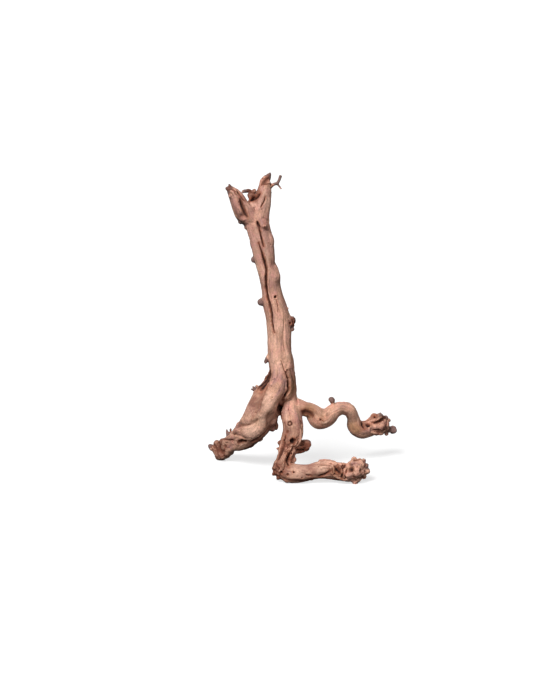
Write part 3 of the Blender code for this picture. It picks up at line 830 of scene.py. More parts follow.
@dataclass
class Carver:
    """Works the skin of the root. Every step moves points, and may darken them with painted shade or stain.

    Attributes:
        skin: the mesh being worked.
        overrun: how far past a limb's end its grain still runs on, in millimetres.
        fade: over what distance one strand's grain gives way to another's, in millimetres.
        cracks, pits, pimples: how many of each are scattered all over.
        back_knots, back_splits, back_furrows, back_holes: how many of each are scattered on the back.
        dark: painted shade in cracks, pits and creases, or a stain's colour, from marks, 0 to 1.
        stain: how strongly the wood round a crack or pit is stained, 0 to 1.
        grain: where each point lies in the grain.
        gnarl: how gnarled the wood is at each point.
    """

    skin: Skin
    overrun: float = 12.0
    fade: float = 2.5
    cracks: int = 120
    pits: int = 110
    pimples: int = 80
    back_knots: int = 3
    back_splits: int = 12
    back_furrows: int = 26
    back_holes: int = 8
    dark: np.ndarray = field(init=False)
    stain: np.ndarray = field(init=False)
    grain: Grain = field(init=False)
    gnarl: np.ndarray = field(init=False)

    def __post_init__(self) -> None:
        """Starts with clean wood."""
        self.dark = np.zeros(len(self.skin.points))
        self.stain = self.dark.copy()

    def fill_creases(self, rounds: int = 36) -> None:
        """Rounds off the creases where limbs meet, and leaves the rest alone.

        A point moves halfway to its neighbours' mean, times a weight that rises from none where the skin is
        hollow by 0.05 mm to full where it is hollow by 0.5 mm, and is then spread to the wood round it.

        Args:
            rounds: how many times each point moves.
        """
        weight = ease(0.05, 0.5, self.skin.hollowness(8))
        weight = np.clip(self.skin.spread(weight, 12) * 2.0, 0.0, 1.0)[:, None]
        for _ in range(rounds):
            step = self.skin.average(self.skin.points) - self.skin.points
            self.skin.points += 0.5 * weight * step

    def follow_grain(self, chunk: int = 40000) -> None:
        """Finds each point's place along and across the nearest limb of each strand.

        Across the limb the place is turned by twist times the distance along, so the grain winds. Places on
        different limbs are far apart, so that no two limbs have the same grain. A strand's share falls off as
        exp(-gap / fade), where gap is the distance from its nearest limb's surface. Last, the places are
        swayed by wide noise, and by tighter noise where the wood is gnarled.

        Args:
            chunk: how many points to measure at a time.
        """
        points = self.skin.points
        count = len(points)
        place = np.zeros((len(Strand), count, 3))
        gap = np.full((len(Strand), count), np.inf)
        ahead = np.zeros((len(Strand), count, 3))
        flutes = np.ones((len(Strand), count))
        for number, limb in enumerate(LIMBS.values()):
            if limb.strand is None:
                continue
            line = limb.line()
            family = limb.strand.value
            for low in range(0, count, chunk):
                part = slice(low, min(low + chunk, count))
                here = points[part]
                square = (line.centre**2).sum(axis=1) - 2.0 * here @ line.centre.T
                nearest = np.argmin(square, axis=1)
                offset = here - line.centre[nearest]
                run = (offset * line.ahead[nearest]).sum(axis=1)
                reach = np.linalg.norm(offset, axis=1) - line.radius[nearest]
                sideways = (offset * line.side[nearest]).sum(axis=1)
                forwards = (offset * line.front[nearest]).sum(axis=1)
                along = line.along[nearest] + np.clip(run, -self.overrun, self.overrun)
                turn = limb.twist * along
                found = np.stack(
                    (
                        sideways * np.cos(turn) - forwards * np.sin(turn),
                        sideways * np.sin(turn) + forwards * np.cos(turn),
                        along + LIMBS_APART * number,
                    ),
                    axis=1,
                )
                closer = reach < gap[family, part]
                place[family, part][closer] = found[closer]
                ahead[family, part][closer] = line.ahead[nearest][closer]
                flutes[family, part][closer] = limb.flutes
                gap[family, part][closer] = reach[closer]
        share = np.exp(-(gap - gap.min(axis=0)) / self.fade)
        share /= share.sum(axis=0)
        best = share.argmax(axis=0)
        self.gnarl = np.zeros(count)
        for x, y, z, reach, strength in GNARLS:
            away = np.linalg.norm(points + ORIGIN - (x, y, z), axis=1)
            self.gnarl = np.maximum(self.gnarl, strength * hump(away, reach * 0.7))
        for axis in range(2):
            wide, tight = noise(points / 26.0, 131 + axis), noise(points / 11.0, 141 + axis)
            place[:, :, axis] += 2.2 * wide + 2.6 * self.gnarl * tight
        self.grain = Grain(place, share, ahead[best, np.arange(count)], (share * flutes).sum(axis=0))

    def along_grain(self, cell: tuple[float, float], seed: int, layers: int = 2) -> np.ndarray:
        """Noise whose cells are narrow across the grain and long along it, shared out over the strands.

        Args:
            cell: width and length of a cell, in millimetres.
            seed: which noise.
            layers: how many layers.

        Returns:
            One value per point.
        """
        value = np.zeros(len(self.skin.points))
        for place, share in zip(self.grain.place, self.grain.share):
            used = share > 0.01
            scaled = place[used] / (cell[0], cell[0], cell[1])
            value[used] += share[used] * layered(scaled, seed, layers)
        return value

    def raise_grain(self) -> None:
        """Gives the wood its flutes, fibres, lumps and burls.

        Flutes and fibres are the absolute value of long noise, less its mean: round on top and sharp in the
        valleys. Lumps are round noise. Burls are packed lobes in two sizes, with painted shade in the
        creases.
        """
        normals = self.skin.normals()
        points = self.skin.points
        flutes = self.grain.flutes * (1.0 - 0.6 * np.clip(self.gnarl, 0.0, 1.0))
        height = np.zeros(len(points))
        for (tall, cell, seed), where in ((WIDE_FLUTES, flutes), (FINE_FLUTES, flutes), (FIBRES, 1.0)):
            height += where * tall * (np.abs(self.along_grain(cell, seed)) - MEAN_FLUTE)
        height += sum(tall * layered(points / width, seed, 2) for tall, width, seed in LUMPS)
        rough = np.flatnonzero(self.gnarl > 0.05)
        bend = [noise(points[rough] / WIDE_LOBE, 151 + axis) for axis in range(3)]
        bent = points[rough] + 4.0 * np.stack(bend, axis=1)
        wide, wide_crease = lobes(bent / WIDE_LOBE, 83)
        small, small_crease = lobes(bent / SMALL_LOBE, 97)
        strength = self.gnarl[rough]
        burl = 6.0 * (MEAN_LOBE - wide) + 2.4 * (MEAN_LOBE - small) + 0.8 * layered(bent / 3.4, 113, 2)
        height[rough] += strength * burl
        uneven = 0.5 + 0.5 * layered(bent / 20.0, 121, 2)
        crease = uneven * (1.0 - ease(0.02, 0.22, wide_crease))
        crease += 0.6 * (1.0 - ease(0.0, 0.2, small_crease)) * uneven
        # Painted shade in the burl's creases.
        self.dark[rough] = np.maximum(self.dark[rough], np.clip(1.1 * strength * crease, 0.0, 0.9))
        self.skin.points = points + height[:, None] * normals

    def cut_marks(self, marks: tuple[Mark, ...]) -> None:
        """Cuts a set of marks, all measured from the skin as it is now.

        Args:
            marks: what to cut.
        """
        normals = self.skin.normals()
        soft = self.skin.spread(normals, 4)
        soft /= np.linalg.norm(soft, axis=1)[:, None]
        moved = np.zeros_like(self.skin.points)
        for number, mark in enumerate(marks):
            self.cut(mark, number, soft, moved)
        self.skin.points = self.skin.points + moved

    def cut(self, mark: Mark, number: int, normals: np.ndarray, moved: np.ndarray) -> None:
        """Adds one mark's push to moved, and its darkness, painted shade or a stain's colour, to the skin.

        The mark's path is drawn through its points and laid on the nearest points of the skin. Distance from
        it, in widths, sets the depth: a bell for grooves and ridges, a flat-bottomed pit for holes.

        Args:
            mark: what to cut.
            number: its place in the list, which seeds its unevenness.
            normals: smooth unit normals of the skin.
            moved: how far each point is pushed in all, changed in place.
        """
        path = drawn_through(np.array(mark.path, float) - ORIGIN)
        reach = 3.2 * mark.width + 3.0
        low, high = path.min(axis=0) - reach, path.max(axis=0) + reach
        near = np.flatnonzero(np.all((self.skin.points > low) & (self.skin.points < high), axis=1))
        if len(near) == 0:
            LOG.warning("mark %d misses the wood", number)
            return
        here = self.skin.points[near]
        path = laid_on(path, here)
        square = (path**2).sum(axis=1) - 2.0 * here @ path.T
        nearest = np.argmin(square, axis=1)
        away = np.linalg.norm(here - path[nearest], axis=1)
        facing = normals[near]
        wobble = noise(here / 3.0, 200 + number)
        if mark.cut in (Cut.HOLE, Cut.RING, Cut.DENT):
            middle = normals[near[away < mark.width + 1.0]].sum(axis=0)
            middle /= max(np.linalg.norm(middle), 1e-9)
            inward = ease(0.0, FULL, facing @ middle)
            away = away * (1.0 + ROUND_WOBBLE * wobble)
            push, shade = round_profile(mark, away)
            moved[near] += (push * inward)[:, None] * middle
            shade = shade * inward
        else:
            t = nearest / max(len(path) - 1, 1)
            slim = np.sqrt(np.clip(np.sin(np.pi * np.clip(t, 0.02, 0.98)), 0.0, 1.0))
            swell = 1.0 + WIDTH_SWING * noise(path[nearest] / 9.0, 300 + number)
            width = mark.width * (0.45 + 0.55 * slim) * swell
            away = away + LONG_WOBBLE * mark.width * wobble * ease(0.3, 1.0, away / mark.width)
            push, shade = long_profile(mark, np.abs(away) / width)
            push, shade = push * slim, shade * ease(0.0, FULL, slim)
            moved[near] += push[:, None] * facing
        self.dark[near] = np.maximum(self.dark[near], mark.dark * shade)
        if mark.cut in (Cut.SPLIT, Cut.HOLE, Cut.FURROW, Cut.STAIN):
            halo = hump(away, 2.0 * mark.width + 1.0) * mark.dark
            self.stain[near] = np.maximum(self.stain[near], halo * (0.75 + 0.5 * wobble))

    def scatter_marks(self, seed: int = 5) -> tuple[Mark, ...]:
        """Draws the small marks that old wood has all over, and a few larger ones for the back.

        Args:
            seed: starts the random draws.

        Returns:
            Drying cracks along the grain, pits, pimples, and knots, splits, furrows and holes on the back.
        """
        draw = np.random.default_rng(seed)
        points, ahead = self.skin.points, self.grain.ahead
        normals = self.skin.normals()
        marks = []

        def along(index: int, length: float) -> tuple[tuple[float, float, float], ...]:
            """A slightly bent path of a given length, along the grain through a point of the skin."""
            steps = np.linspace(-0.5, 0.5, 5)[:, None] * length
            swing = np.cross(normals[index], ahead[index]) * draw.uniform(-0.06, 0.06) * length
            line = points[index] + ORIGIN + steps * ahead[index] + np.abs(steps / length) * 2.0 * swing
            return tuple(map(tuple, line))

        def here(index: int) -> tuple[tuple[float, float, float], ...]:
            """A path of one point of the skin."""
            return (tuple(points[index] + ORIGIN),)

        for index in draw.integers(0, len(points), self.cracks):
            long = draw.uniform(9.0, 34.0)
            marks.append(Mark(Cut.SPLIT, draw.uniform(0.6, 1.0), long / 26.0, 0.4, along(index, long)))
        for index in draw.integers(0, len(points), self.pits):
            size = draw.uniform(1.0, 2.2)
            marks.append(Mark(Cut.HOLE, size, size * 0.8, 0.45, here(index)))
        for index in draw.integers(0, len(points), self.pimples):
            size = draw.uniform(2.0, 4.5)
            marks.append(Mark(Cut.DENT, size, -size * 0.35, 0.0, here(index)))
        back = np.flatnonzero((normals[:, 1] > 0.35) & (points[:, 2] > 35.0))
        for index in draw.choice(back, self.back_knots):
            marks.append(Mark(Cut.RING, draw.uniform(4.0, 7.5), 1.6, 0.5, here(index)))
        for index in draw.choice(back, self.back_splits):
            deep, long = draw.uniform(3.0, 5.5), draw.uniform(45.0, 120.0)
            marks.append(Mark(Cut.SPLIT, 1.8, deep, 0.9, along(index, long)))
        for index in draw.choice(back, self.back_furrows):
            deep, long = draw.uniform(1.5, 3.0), draw.uniform(40.0, 110.0)
            marks.append(Mark(Cut.FURROW, 3.0, deep, 0.4, along(index, long)))
        for index in draw.choice(back, self.back_holes):
            size = draw.uniform(3.0, 4.6)
            marks.append(Mark(Cut.HOLE, size, size * 1.1, 0.9, here(index)))
        return tuple(marks)

    def stand(self) -> None:
        """Levels what would reach below the floor."""
        self.skin.points[:, 2] = np.maximum(self.skin.points[:, 2], 0.0)

    def masks(self) -> dict[str, np.ndarray]:
        """The masks that the wood's material reads, each 0 to 1.

        Hollow is the marks' darkness, which is painted shade in cracks, pits and creases or a stain's colour,
        or up to 0.8 of painted shade where the skin lies below what is round it, on a fine or a wide scale.
        Crest is a painted highlight where it stands above, on a fine scale. Weather is full within half of a
        spot's reach and gone at 1.2 times it. A tone falls off as a bell from the middle of each of its
        patches; the pale tone's patches are painted highlights.

        Returns:
            Hollow, crest, stain and weather, and one mask for each tone that lies in patches.
        """
        fine, wide = self.skin.hollowness(4), self.skin.hollowness(40)
        # Painted shade from the marks' darkness and the hollows; then a painted highlight where the skin
        # stands out.
        hollow = np.maximum(self.dark, 0.8 * ease(0.2, 0.9, fine))
        hollow = np.maximum(hollow, 0.8 * ease(0.8, 3.6, wide))
        masks = {"hollow": hollow, "crest_highlight": ease(0.1, 0.8, -fine) * (1.0 - hollow), "stain": self.stain}
        places = self.skin.points + ORIGIN
        count = len(places)
        weather = np.zeros(count)
        for x, y, z, reach in WEATHERED:
            away = np.linalg.norm(places - (x, y, z), axis=1)
            weather = np.maximum(weather, ease(0.0, 1.0, 1.7 - 1.4 * away / reach))
        masks["weather"] = weather
        for tone, patches in PATCHES.items():
            lying = np.zeros(count)
            for x, y, z, reach, strength in patches:
                away = np.linalg.norm(places - (x, y, z), axis=1)
                lying = np.maximum(lying, strength * hump(away, 0.75 * reach))
            masks[tone.name.lower()] = lying
        return masks


def drawn_through(knots: np.ndarray, step: float = 0.8) -> np.ndarray:
    """Points a step apart on straight lines between knots, with the corners eased by averaging neighbours."""
    if len(knots) == 1:
        return knots
    at = np.concatenate(([0.0], np.cumsum(np.linalg.norm(np.diff(knots, axis=0), axis=1))))
    along = np.linspace(0.0, at[-1], max(3, round(at[-1] / step)))
    path = np.stack([np.interp(along, at, knots[:, axis]) for axis in range(3)], axis=1)
    for _ in range(12):
        path[1:-1] = (path[:-2] + 2.0 * path[1:-1] + path[2:]) / 4.0
    return path


def laid_on(path: np.ndarray, skin: np.ndarray) -> np.ndarray:
    """Moves each point of a path to the nearest point of the skin, then eases the path a little."""
    square = (skin**2).sum(axis=1)[None, :] - 2.0 * path @ skin.T
    laid = skin[np.argmin(square, axis=1)]
    for _ in range(9):
        laid[1:-1] = (laid[:-2] + 2.0 * laid[1:-1] + laid[2:]) / 4.0
    return laid


def long_profile(mark: Mark, away: np.ndarray) -> tuple[np.ndarray, np.ndarray]:
    """The push outwards and the darkness of a groove or ridge, so many widths away from its path."""
    bell = hump(away, 1.0)
    if mark.cut is Cut.SPLIT:
        lips = 0.12 * mark.depth * hump(away - 1.9, 0.7)
        return lips - mark.depth * hump(away, 0.85), hump(away, 0.8)
    if mark.cut is Cut.FURROW:
        return -mark.depth * bell, bell
    if mark.cut is Cut.RIDGE:
        return mark.depth * bell, bell
    if mark.cut is Cut.STRAND:
        arch = np.clip(1.0 - np.square(away), 0.0, 1.0) ** 0.7
        return mark.depth * (arch - 0.15 * hump(away - 1.0, 0.3)), arch
    return 0.0 * bell, bell


def round_profile(mark: Mark, away: np.ndarray) -> tuple[np.ndarray, np.ndarray]:
    """The push outwards and the darkness of a round mark, at a distance in millimetres from its middle."""
    ratio = away / mark.width
    if mark.cut is Cut.HOLE:
        inside = 1.0 - ease(0.35, 1.15, ratio)
        rim = 0.22 * mark.depth * hump(ratio - 1.45, 0.35)
        return rim - mark.depth * inside, 1.0 - ease(0.45, 1.15, ratio)
    if mark.cut is Cut.RING:
        groove = hump(ratio - 0.85, 0.4)
        boss = 1.0 - ease(0.0, 1.5, ratio)
        return mark.depth * (1.1 * boss - groove), np.maximum(groove, 0.25 * (1.0 - ease(0.4, 0.9, ratio)))
    return -mark.depth * (1.0 - ease(0.1, 1.25, ratio)), 1.0 - ease(0.1, 1.05, ratio)


# ----------------------------------------------------------------------------------------------------
# Finishes
# ----------------------------------------------------------------------------------------------------


Colour = tuple[float, float, float, float]


def screen_colour(red: int, green: int, blue: int) -> Colour:
    """A colour given as it looks on a screen, 0 to 255, as the linear light a shader wants."""
    shown = [value / 255.0 for value in (red, green, blue)]
    light = [((value + 0.055) / 1.055) ** 2.4 if value > 0.04045 else value / 12.92 for value in shown]
    return (*light, 1.0)


# What an input takes: another node's output, a number, or a colour or vector.
Value = bpy.types.NodeSocket | float | tuple[float, ...]


@dataclass
class Recipe:
    """A node tree being written, with short calls for the nodes that a finish is made of."""

    tree: bpy.types.NodeTree

    def node(self, kind: str, inputs: dict | None = None, **settings: object) -> bpy.types.Node:
        """Adds a node.

        Args:
            kind: the node's type name, such as ShaderNodeMath.
            inputs: for each input, by name or number, a value or the socket to join to it.
            settings: the node's own properties.

        Returns:
            The node.
        """
        made = self.tree.nodes.new(kind)
        for name, value in settings.items():
            setattr(made, name, value)
        for key, value in (inputs or {}).items():
            self.feed(made.inputs[key], value)
        return made

    def feed(self, socket: bpy.types.NodeSocket, value: Value) -> None:
        """Joins a socket to an input, or sets the input's value."""
        if isinstance(value, bpy.types.NodeSocket):
            self.tree.links.new(value, socket)
        else:
            socket.default_value = value

    def math(self, operation: str, *values: Value) -> bpy.types.NodeSocket:
        """A sum, product or other operation on numbers."""
        return self.node("ShaderNodeMath", dict(enumerate(values)), operation=operation).outputs[0]

    def scaled(self, vector: Value, scale: tuple[float, float, float]) -> bpy.types.NodeSocket:
        """A vector multiplied by three numbers."""
        return self.node("ShaderNodeVectorMath", {0: vector, 1: scale}, operation="MULTIPLY").outputs[0]

    def noise(self, vector: Value, scale: float, detail: float, rough: float) -> bpy.types.NodeSocket:
        """Layered noise, 0 to 1, with so many cells to the metre."""
        inputs = {"Vector": vector, "Scale": scale, "Detail": detail, "Roughness": rough}
        return self.node("ShaderNodeTexNoise", inputs).outputs["Fac"]

    def step(self, value: Value, low: float, high: float) -> bpy.types.NodeSocket:
        """0 below low and 1 above high, smooth between."""
        inputs = {"Value": value, "From Min": low, "From Max": high}
        return self.node("ShaderNodeMapRange", inputs, interpolation_type="SMOOTHSTEP").outputs["Result"]

    def blend(self, share: Value, first: Value, second: Value) -> bpy.types.NodeSocket:
        """Two colours mixed: the first where the share is 0, the second where it is 1."""
        made = self.node("ShaderNodeMix", data_type="RGBA")
        self.feed(made.inputs[0], share)
        self.feed(made.inputs[6], first)
        self.feed(made.inputs[7], second)
        return made.outputs[2]

    def mask(self, name: str) -> bpy.types.NodeSocket:
        """One of the mesh's own masks, as a number."""
        return self.node("ShaderNodeAttribute", attribute_name=name).outputs["Fac"]

    def ragged_mask(
        self, name: str, uneven: Value, swing: float, low: float, high: float, most: float
    ) -> bpy.types.NodeSocket:
        """One of the mesh's own masks with its edge broken up by noise.

        Args:
            name: the mask.
            uneven: the noise, 0 to 1.
            swing: how much of the noise is added to the mask.
            low: the sum at which the mask begins to show.
            high: the sum at which it is full.
            most: how strong it then is.

        Returns:
            The mask, 0 to most.
        """
        ragged = self.math("MULTIPLY_ADD", self.math("SUBTRACT", uneven, 0.5), swing, self.mask(name))
        return self.math("MULTIPLY", self.step(ragged, low, high), most)

    def place(self, name: str) -> bpy.types.NodeSocket:
        """One of the mesh's own vectors."""
        return self.node("ShaderNodeAttribute", attribute_name=name).outputs["Vector"]


def grain_group() -> bpy.types.ShaderNodeTree:
    """The streaks of vine wood, as a group: a place in the grain goes in, three masks come out.

    Wide streaks tint the wood, fibres draw it, and pores are short dark dashes between the fibres.
    """
    tree = bpy.data.node_groups.new("vine_grain", "ShaderNodeTree")
    tree.interface.new_socket("Place", in_out="INPUT", socket_type="NodeSocketVector")
    for name in ("Streaks", "Fibres", "Pores"):
        tree.interface.new_socket(name, in_out="OUTPUT", socket_type="NodeSocketFloat")
    recipe = Recipe(tree)
    place = recipe.node("NodeGroupInput").outputs["Place"]
    out = recipe.node("NodeGroupOutput")
    streaks = recipe.noise(recipe.scaled(place, (1.0, 1.0, 0.06)), 160.0, 3.0, 0.6)
    fibres = recipe.noise(recipe.scaled(place, (1.0, 1.0, 0.035)), 620.0, 4.0, 0.65)
    dashes = recipe.noise(recipe.scaled(place, (1.0, 1.0, 0.11)), 900.0, 2.0, 0.5)
    recipe.feed(out.inputs["Streaks"], streaks)
    recipe.feed(out.inputs["Fibres"], fibres)
    recipe.feed(out.inputs["Pores"], recipe.step(dashes, 0.60, 0.72))
    return tree


@dataclass(frozen=True)
class BareWood:
    """Dry vine wood, bark blasted off: pinkish tan, streaked, painted shade in its hollows, grey at its tips.

    Attributes:
        pale, tan, rose, mauve, olive, brown: the colours of sound wood, in streaks and patches.
        rust, shadow, pit: the stain round cracks, the painted shade of hollows, and painted shade deep in
            pits.
        grey: weathered tips.
        roughness: its mean.
        gloss: how strongly its surface mirrors, where 0.5 is usual.
        bump: height of the finest fibres, in metres.
    """

    # Pale is the wood's own streak colour, and also the painted highlight on crests and in the pale patches.
    pale: Colour = screen_colour(236, 192, 168)
    tan: Colour = screen_colour(216, 165, 139)
    rose: Colour = screen_colour(206, 144, 130)
    mauve: Colour = screen_colour(176, 132, 125)
    olive: Colour = screen_colour(170, 126, 88)
    brown: Colour = screen_colour(124, 82, 67)
    rust: Colour = screen_colour(150, 84, 56)
    # Painted shade of hollows; it also colours the dark stains and draws the fibres and pores.
    shadow: Colour = screen_colour(108, 60, 43)
    # Painted shade deep in cracks and pits.
    pit: Colour = screen_colour(42, 20, 15)
    grey: Colour = screen_colour(102, 82, 81)
    roughness: float = 0.82
    gloss: float = 0.28
    bump: float = 0.0006

    def material(self) -> bpy.types.Material:
        """Writes the material.

        Returns:
            A material that reads the mesh's masks and its three places in the grain.
        """
        made = bpy.data.materials.new("bare_vine_wood")
        made.use_nodes = True
        recipe = Recipe(made.node_tree)
        shader = made.node_tree.nodes["Principled BSDF"]
        streaks, fibres, pores = self.grain(recipe)
        where = recipe.node("ShaderNodeTexCoord").outputs["Object"]
        patches = recipe.noise(where, 21.0, 3.0, 0.55)
        flecks = recipe.noise(where, 75.0, 3.0, 0.6)
        specks = recipe.noise(where, 260.0, 3.0, 0.65)

        tint = recipe.math("MULTIPLY_ADD", patches, 0.5, recipe.math("MULTIPLY", streaks, 0.7))
        wood = recipe.blend(recipe.step(tint, 0.44, 0.60), self.mauve, self.tan)
        wood = recipe.blend(recipe.math("MULTIPLY", recipe.step(flecks, 0.46, 0.64), 0.7), wood, self.rose)
        wood = recipe.blend(recipe.step(tint, 0.60, 0.80), wood, self.pale)
        # Each layer: mask, noise, how much noise, where it begins and is full, how strong, and its colour.
        for name, uneven, swing, low, high, most, colour in (
            # Pale patches: painted highlights.
            ("pale", flecks, 0.7, 0.1, 0.9, 0.8, self.pale),
            ("mauve", flecks, 0.9, 0.1, 0.9, 0.6, self.mauve),
            ("olive", flecks, 0.6, 0.15, 0.85, 0.75, self.olive),
            ("brown", flecks, 1.3, 0.1, 0.9, 0.85, self.brown),
            # Crests: a painted highlight on what stands out.
            ("crest_highlight", specks, 0.5, 0.1, 0.9, 0.45, self.pale),
            ("weather", specks, 0.8, 0.2, 0.8, 0.85, self.grey),
        ):
            wood = recipe.blend(recipe.ragged_mask(name, uneven, swing, low, high, most), wood, colour)
        lines = recipe.math("MULTIPLY", recipe.step(fibres, 0.52, 0.32), 0.40)
        wood = recipe.blend(lines, wood, self.shadow)
        wood = recipe.blend(recipe.math("MULTIPLY", pores, 0.4), wood, self.shadow)
        # The rust stain round cracks, then the marks' darkness and the hollows: painted shade, and the dark
        # stains.
        for name, uneven, swing, low, high, most, colour in (
            ("stain", specks, 0.7, 0.15, 0.9, 0.7, self.rust),
            ("hollow", specks, 0.4, 0.10, 0.50, 0.85, self.shadow),
            ("hollow", specks, 0.4, 0.50, 1.0, 1.0, self.pit),
        ):
            wood = recipe.blend(recipe.ragged_mask(name, uneven, swing, low, high, most), wood, colour)
        light = recipe.math("MULTIPLY_ADD", specks, 1.1, recipe.math("MULTIPLY_ADD", flecks, 0.8, 0.09))
        wood = recipe.node("ShaderNodeVectorMath", {0: wood, "Scale": light}, operation="SCALE").outputs[0]
        recipe.feed(shader.inputs["Base Color"], wood)

        rough = recipe.math("MULTIPLY_ADD", fibres, 0.16, self.roughness - 0.08)
        recipe.feed(shader.inputs["Roughness"], rough)
        shader.inputs["Specular IOR Level"].default_value = self.gloss
        raised, sunk = recipe.math("MULTIPLY", fibres, 0.9), recipe.math("MULTIPLY", pores, 0.5)
        height = recipe.math("SUBTRACT", raised, sunk)
        height = recipe.math("MULTIPLY_ADD", specks, 0.5, height)
        bump = recipe.node("ShaderNodeBump", {"Height": height, "Distance": self.bump, "Strength": 0.8})
        recipe.feed(shader.inputs["Normal"], bump.outputs["Normal"])
        return made

    def grain(self, recipe: Recipe) -> list[bpy.types.NodeSocket]:
        """The grain group once for each strand, added up by the strands' shares.

        Args:
            recipe: the material being written.

        Returns:
            Streaks, fibres and pores.
        """
        group = grain_group()
        shares = recipe.node("ShaderNodeSeparateXYZ", {0: recipe.place("grain_share")}).outputs
        totals = []
        for strand in Strand:
            place = recipe.place(f"grain_{strand.name.lower()}")
            one = recipe.node("ShaderNodeGroup", node_tree=group)
            recipe.feed(one.inputs["Place"], place)
            parts = [recipe.math("MULTIPLY", out, shares[strand.value]) for out in one.outputs]
            totals = [recipe.math("ADD", a, b) for a, b in zip(totals, parts)] if totals else parts
        return totals


# ----------------------------------------------------------------------------------------------------
# The root
# ----------------------------------------------------------------------------------------------------


@dataclass
class DryRoot:
    """The whole root as one mesh.

    Attributes:
        voxel: cell size of the remesh that grows the limbs together, in millimetres.
        triangles: how many triangles the finished mesh may have.
        finish: what it is dressed in.
    """

    voxel: float = 1.15
    triangles: int = 190000
    finish: BareWood = field(default_factory=BareWood)

    def grow_together(self) -> Skin:
        """Sweeps every limb and knob and fuses them into one closed skin with a voxel remesh.

        Returns:
            The skin, all of whose faces have four sides.
        """
        points, faces, base = [], [], 0
        for limb in (*LIMBS.values(), *(ball(*knob) for knob in KNOBS)):
            limb_points, limb_faces = limb.skin()
            points.append(limb_points)
            faces.append(limb_faces + base)
            base += len(limb_points)
        rough = new_mesh("limbs", np.concatenate(points) * MM, np.concatenate(faces))
        carrier = bpy.data.objects.new("limbs", rough)
        bpy.context.scene.collection.objects.link(carrier)
        remesh = carrier.modifiers.new("grow_together", "REMESH")
        remesh.mode = "VOXEL"
        remesh.voxel_size = self.voxel * MM
        fused = carrier.evaluated_get(bpy.context.evaluated_depsgraph_get()).to_mesh()
        skin = Skin(
            read(fused.vertices, "co", 3) / MM,
            read(fused.loops, "vertex_index", 1, int).reshape(-1, 4),
            read(fused.edges, "vertices", 2, int),
        )
        bpy.data.objects.remove(carrier)
        bpy.data.meshes.remove(rough)
        return skin

    def build(self) -> bpy.types.Object:
        """Grows, carves and dresses the root.

        Returns:
            The finished object.
        """
        carver = Carver(self.grow_together())
        LOG.info("grown together: %d points", len(carver.skin.points))
        carver.fill_creases()
        carver.follow_grain()
        carver.cut_marks(FORMS)
        carver.raise_grain()
        carver.cut_marks(MARKS)
        carver.cut_marks(carver.scatter_marks())
        carver.stand()
        LOG.info("carved: %d marks by hand", len(FORMS) + len(MARKS))
        return self.dress(carver)

    def dress(self, carver: Carver) -> bpy.types.Object:
        """Turns the carved skin into the finished object, with its masks and its material.

        Args:
            carver: holds the skin, its grain and its masks.

        Returns:
            The object, thinned where the wood is smooth so that it keeps within its triangles.
        """
        mesh = new_mesh("carved_root", carver.skin.points * MM, carver.skin.faces)
        for name, values in carver.masks().items():
            mesh.attributes.new(name, "FLOAT", "POINT").data.foreach_set("value", values.astype(np.float32))
        for strand in Strand:
            place = carver.grain.place[strand.value] * MM
            layer = mesh.attributes.new(f"grain_{strand.name.lower()}", "FLOAT_VECTOR", "POINT")
            layer.data.foreach_set("vector", place.astype(np.float32).ravel())
        share = mesh.attributes.new("grain_share", "FLOAT_VECTOR", "POINT")
        share.data.foreach_set("vector", carver.grain.share.T.astype(np.float32).ravel())
        carved = bpy.data.objects.new("carved_root", mesh)
        bpy.context.scene.collection.objects.link(carved)
        thin = carved.modifiers.new("thin", "DECIMATE")
        thin.ratio = min(1.0, self.triangles / (2 * len(carver.skin.faces)))
        evaluated = carved.evaluated_get(bpy.context.evaluated_depsgraph_get())
        finished = bpy.data.meshes.new_from_object(evaluated)
        bpy.data.objects.remove(carved)
        finished.name = "dry_root_wood"
        finished.materials.clear()
        finished.materials.append(self.finish.material())
        finished.shade_smooth()
        root = bpy.data.objects.new("dry_root_wood", finished)
        bpy.context.scene.collection.objects.link(root)
        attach(root, BODY)
        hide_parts(NODE)
        LOG.info("dry_root_wood: %d faces", len(finished.polygons))
        return root


def new_mesh(name: str, points: np.ndarray, faces: np.ndarray) -> bpy.types.Mesh:
    """A mesh from whole arrays.

    Args:
        name: what to call it.
        points: places in metres, shape (n, 3).
        faces: indices into points, shape (m, 3) or (m, 4).

    Returns:
        The mesh.
    """
    mesh = bpy.data.meshes.new(name)
    mesh.vertices.add(len(points))
    mesh.vertices.foreach_set("co", points.astype(np.float32).ravel())
    mesh.loops.add(faces.size)
    mesh.loops.foreach_set("vertex_index", faces.astype(np.int32).ravel())
    mesh.polygons.add(len(faces))
    mesh.polygons.foreach_set("loop_start", np.arange(0, faces.size, faces.shape[1], dtype=np.int32))
    mesh.update(calc_edges=True)
    mesh.validate()
    return mesh


def read(items: bpy.types.bpy_prop_collection, name: str, width: int, kind: type = float) -> np.ndarray:
    """One property of every item as an array, with one row per item where it has several numbers."""
    values = np.empty(len(items) * width, dtype=np.int32 if kind is int else np.float32)
    items.foreach_get(name, values)
    values = values.astype(np.int64 if kind is int else np.float64)
    return values.reshape(-1, width) if width > 1 else values


# ----------------------------------------------------------------------------------------------------
# The studio
# ----------------------------------------------------------------------------------------------------


@dataclass(frozen=True)
class Lamp:
    """A far-off soft light.

    Attributes:
        name: what to call it.
        azimuth: where it stands round the root, in degrees: 0 in front, 90 to the right.
        elevation: its angle above the floor, in degrees.
        softness: how wide it looks from the root, in degrees.
        strength: in watts per square metre.
    """

    name: str
    azimuth: float
    elevation: float
    softness: float
    strength: float


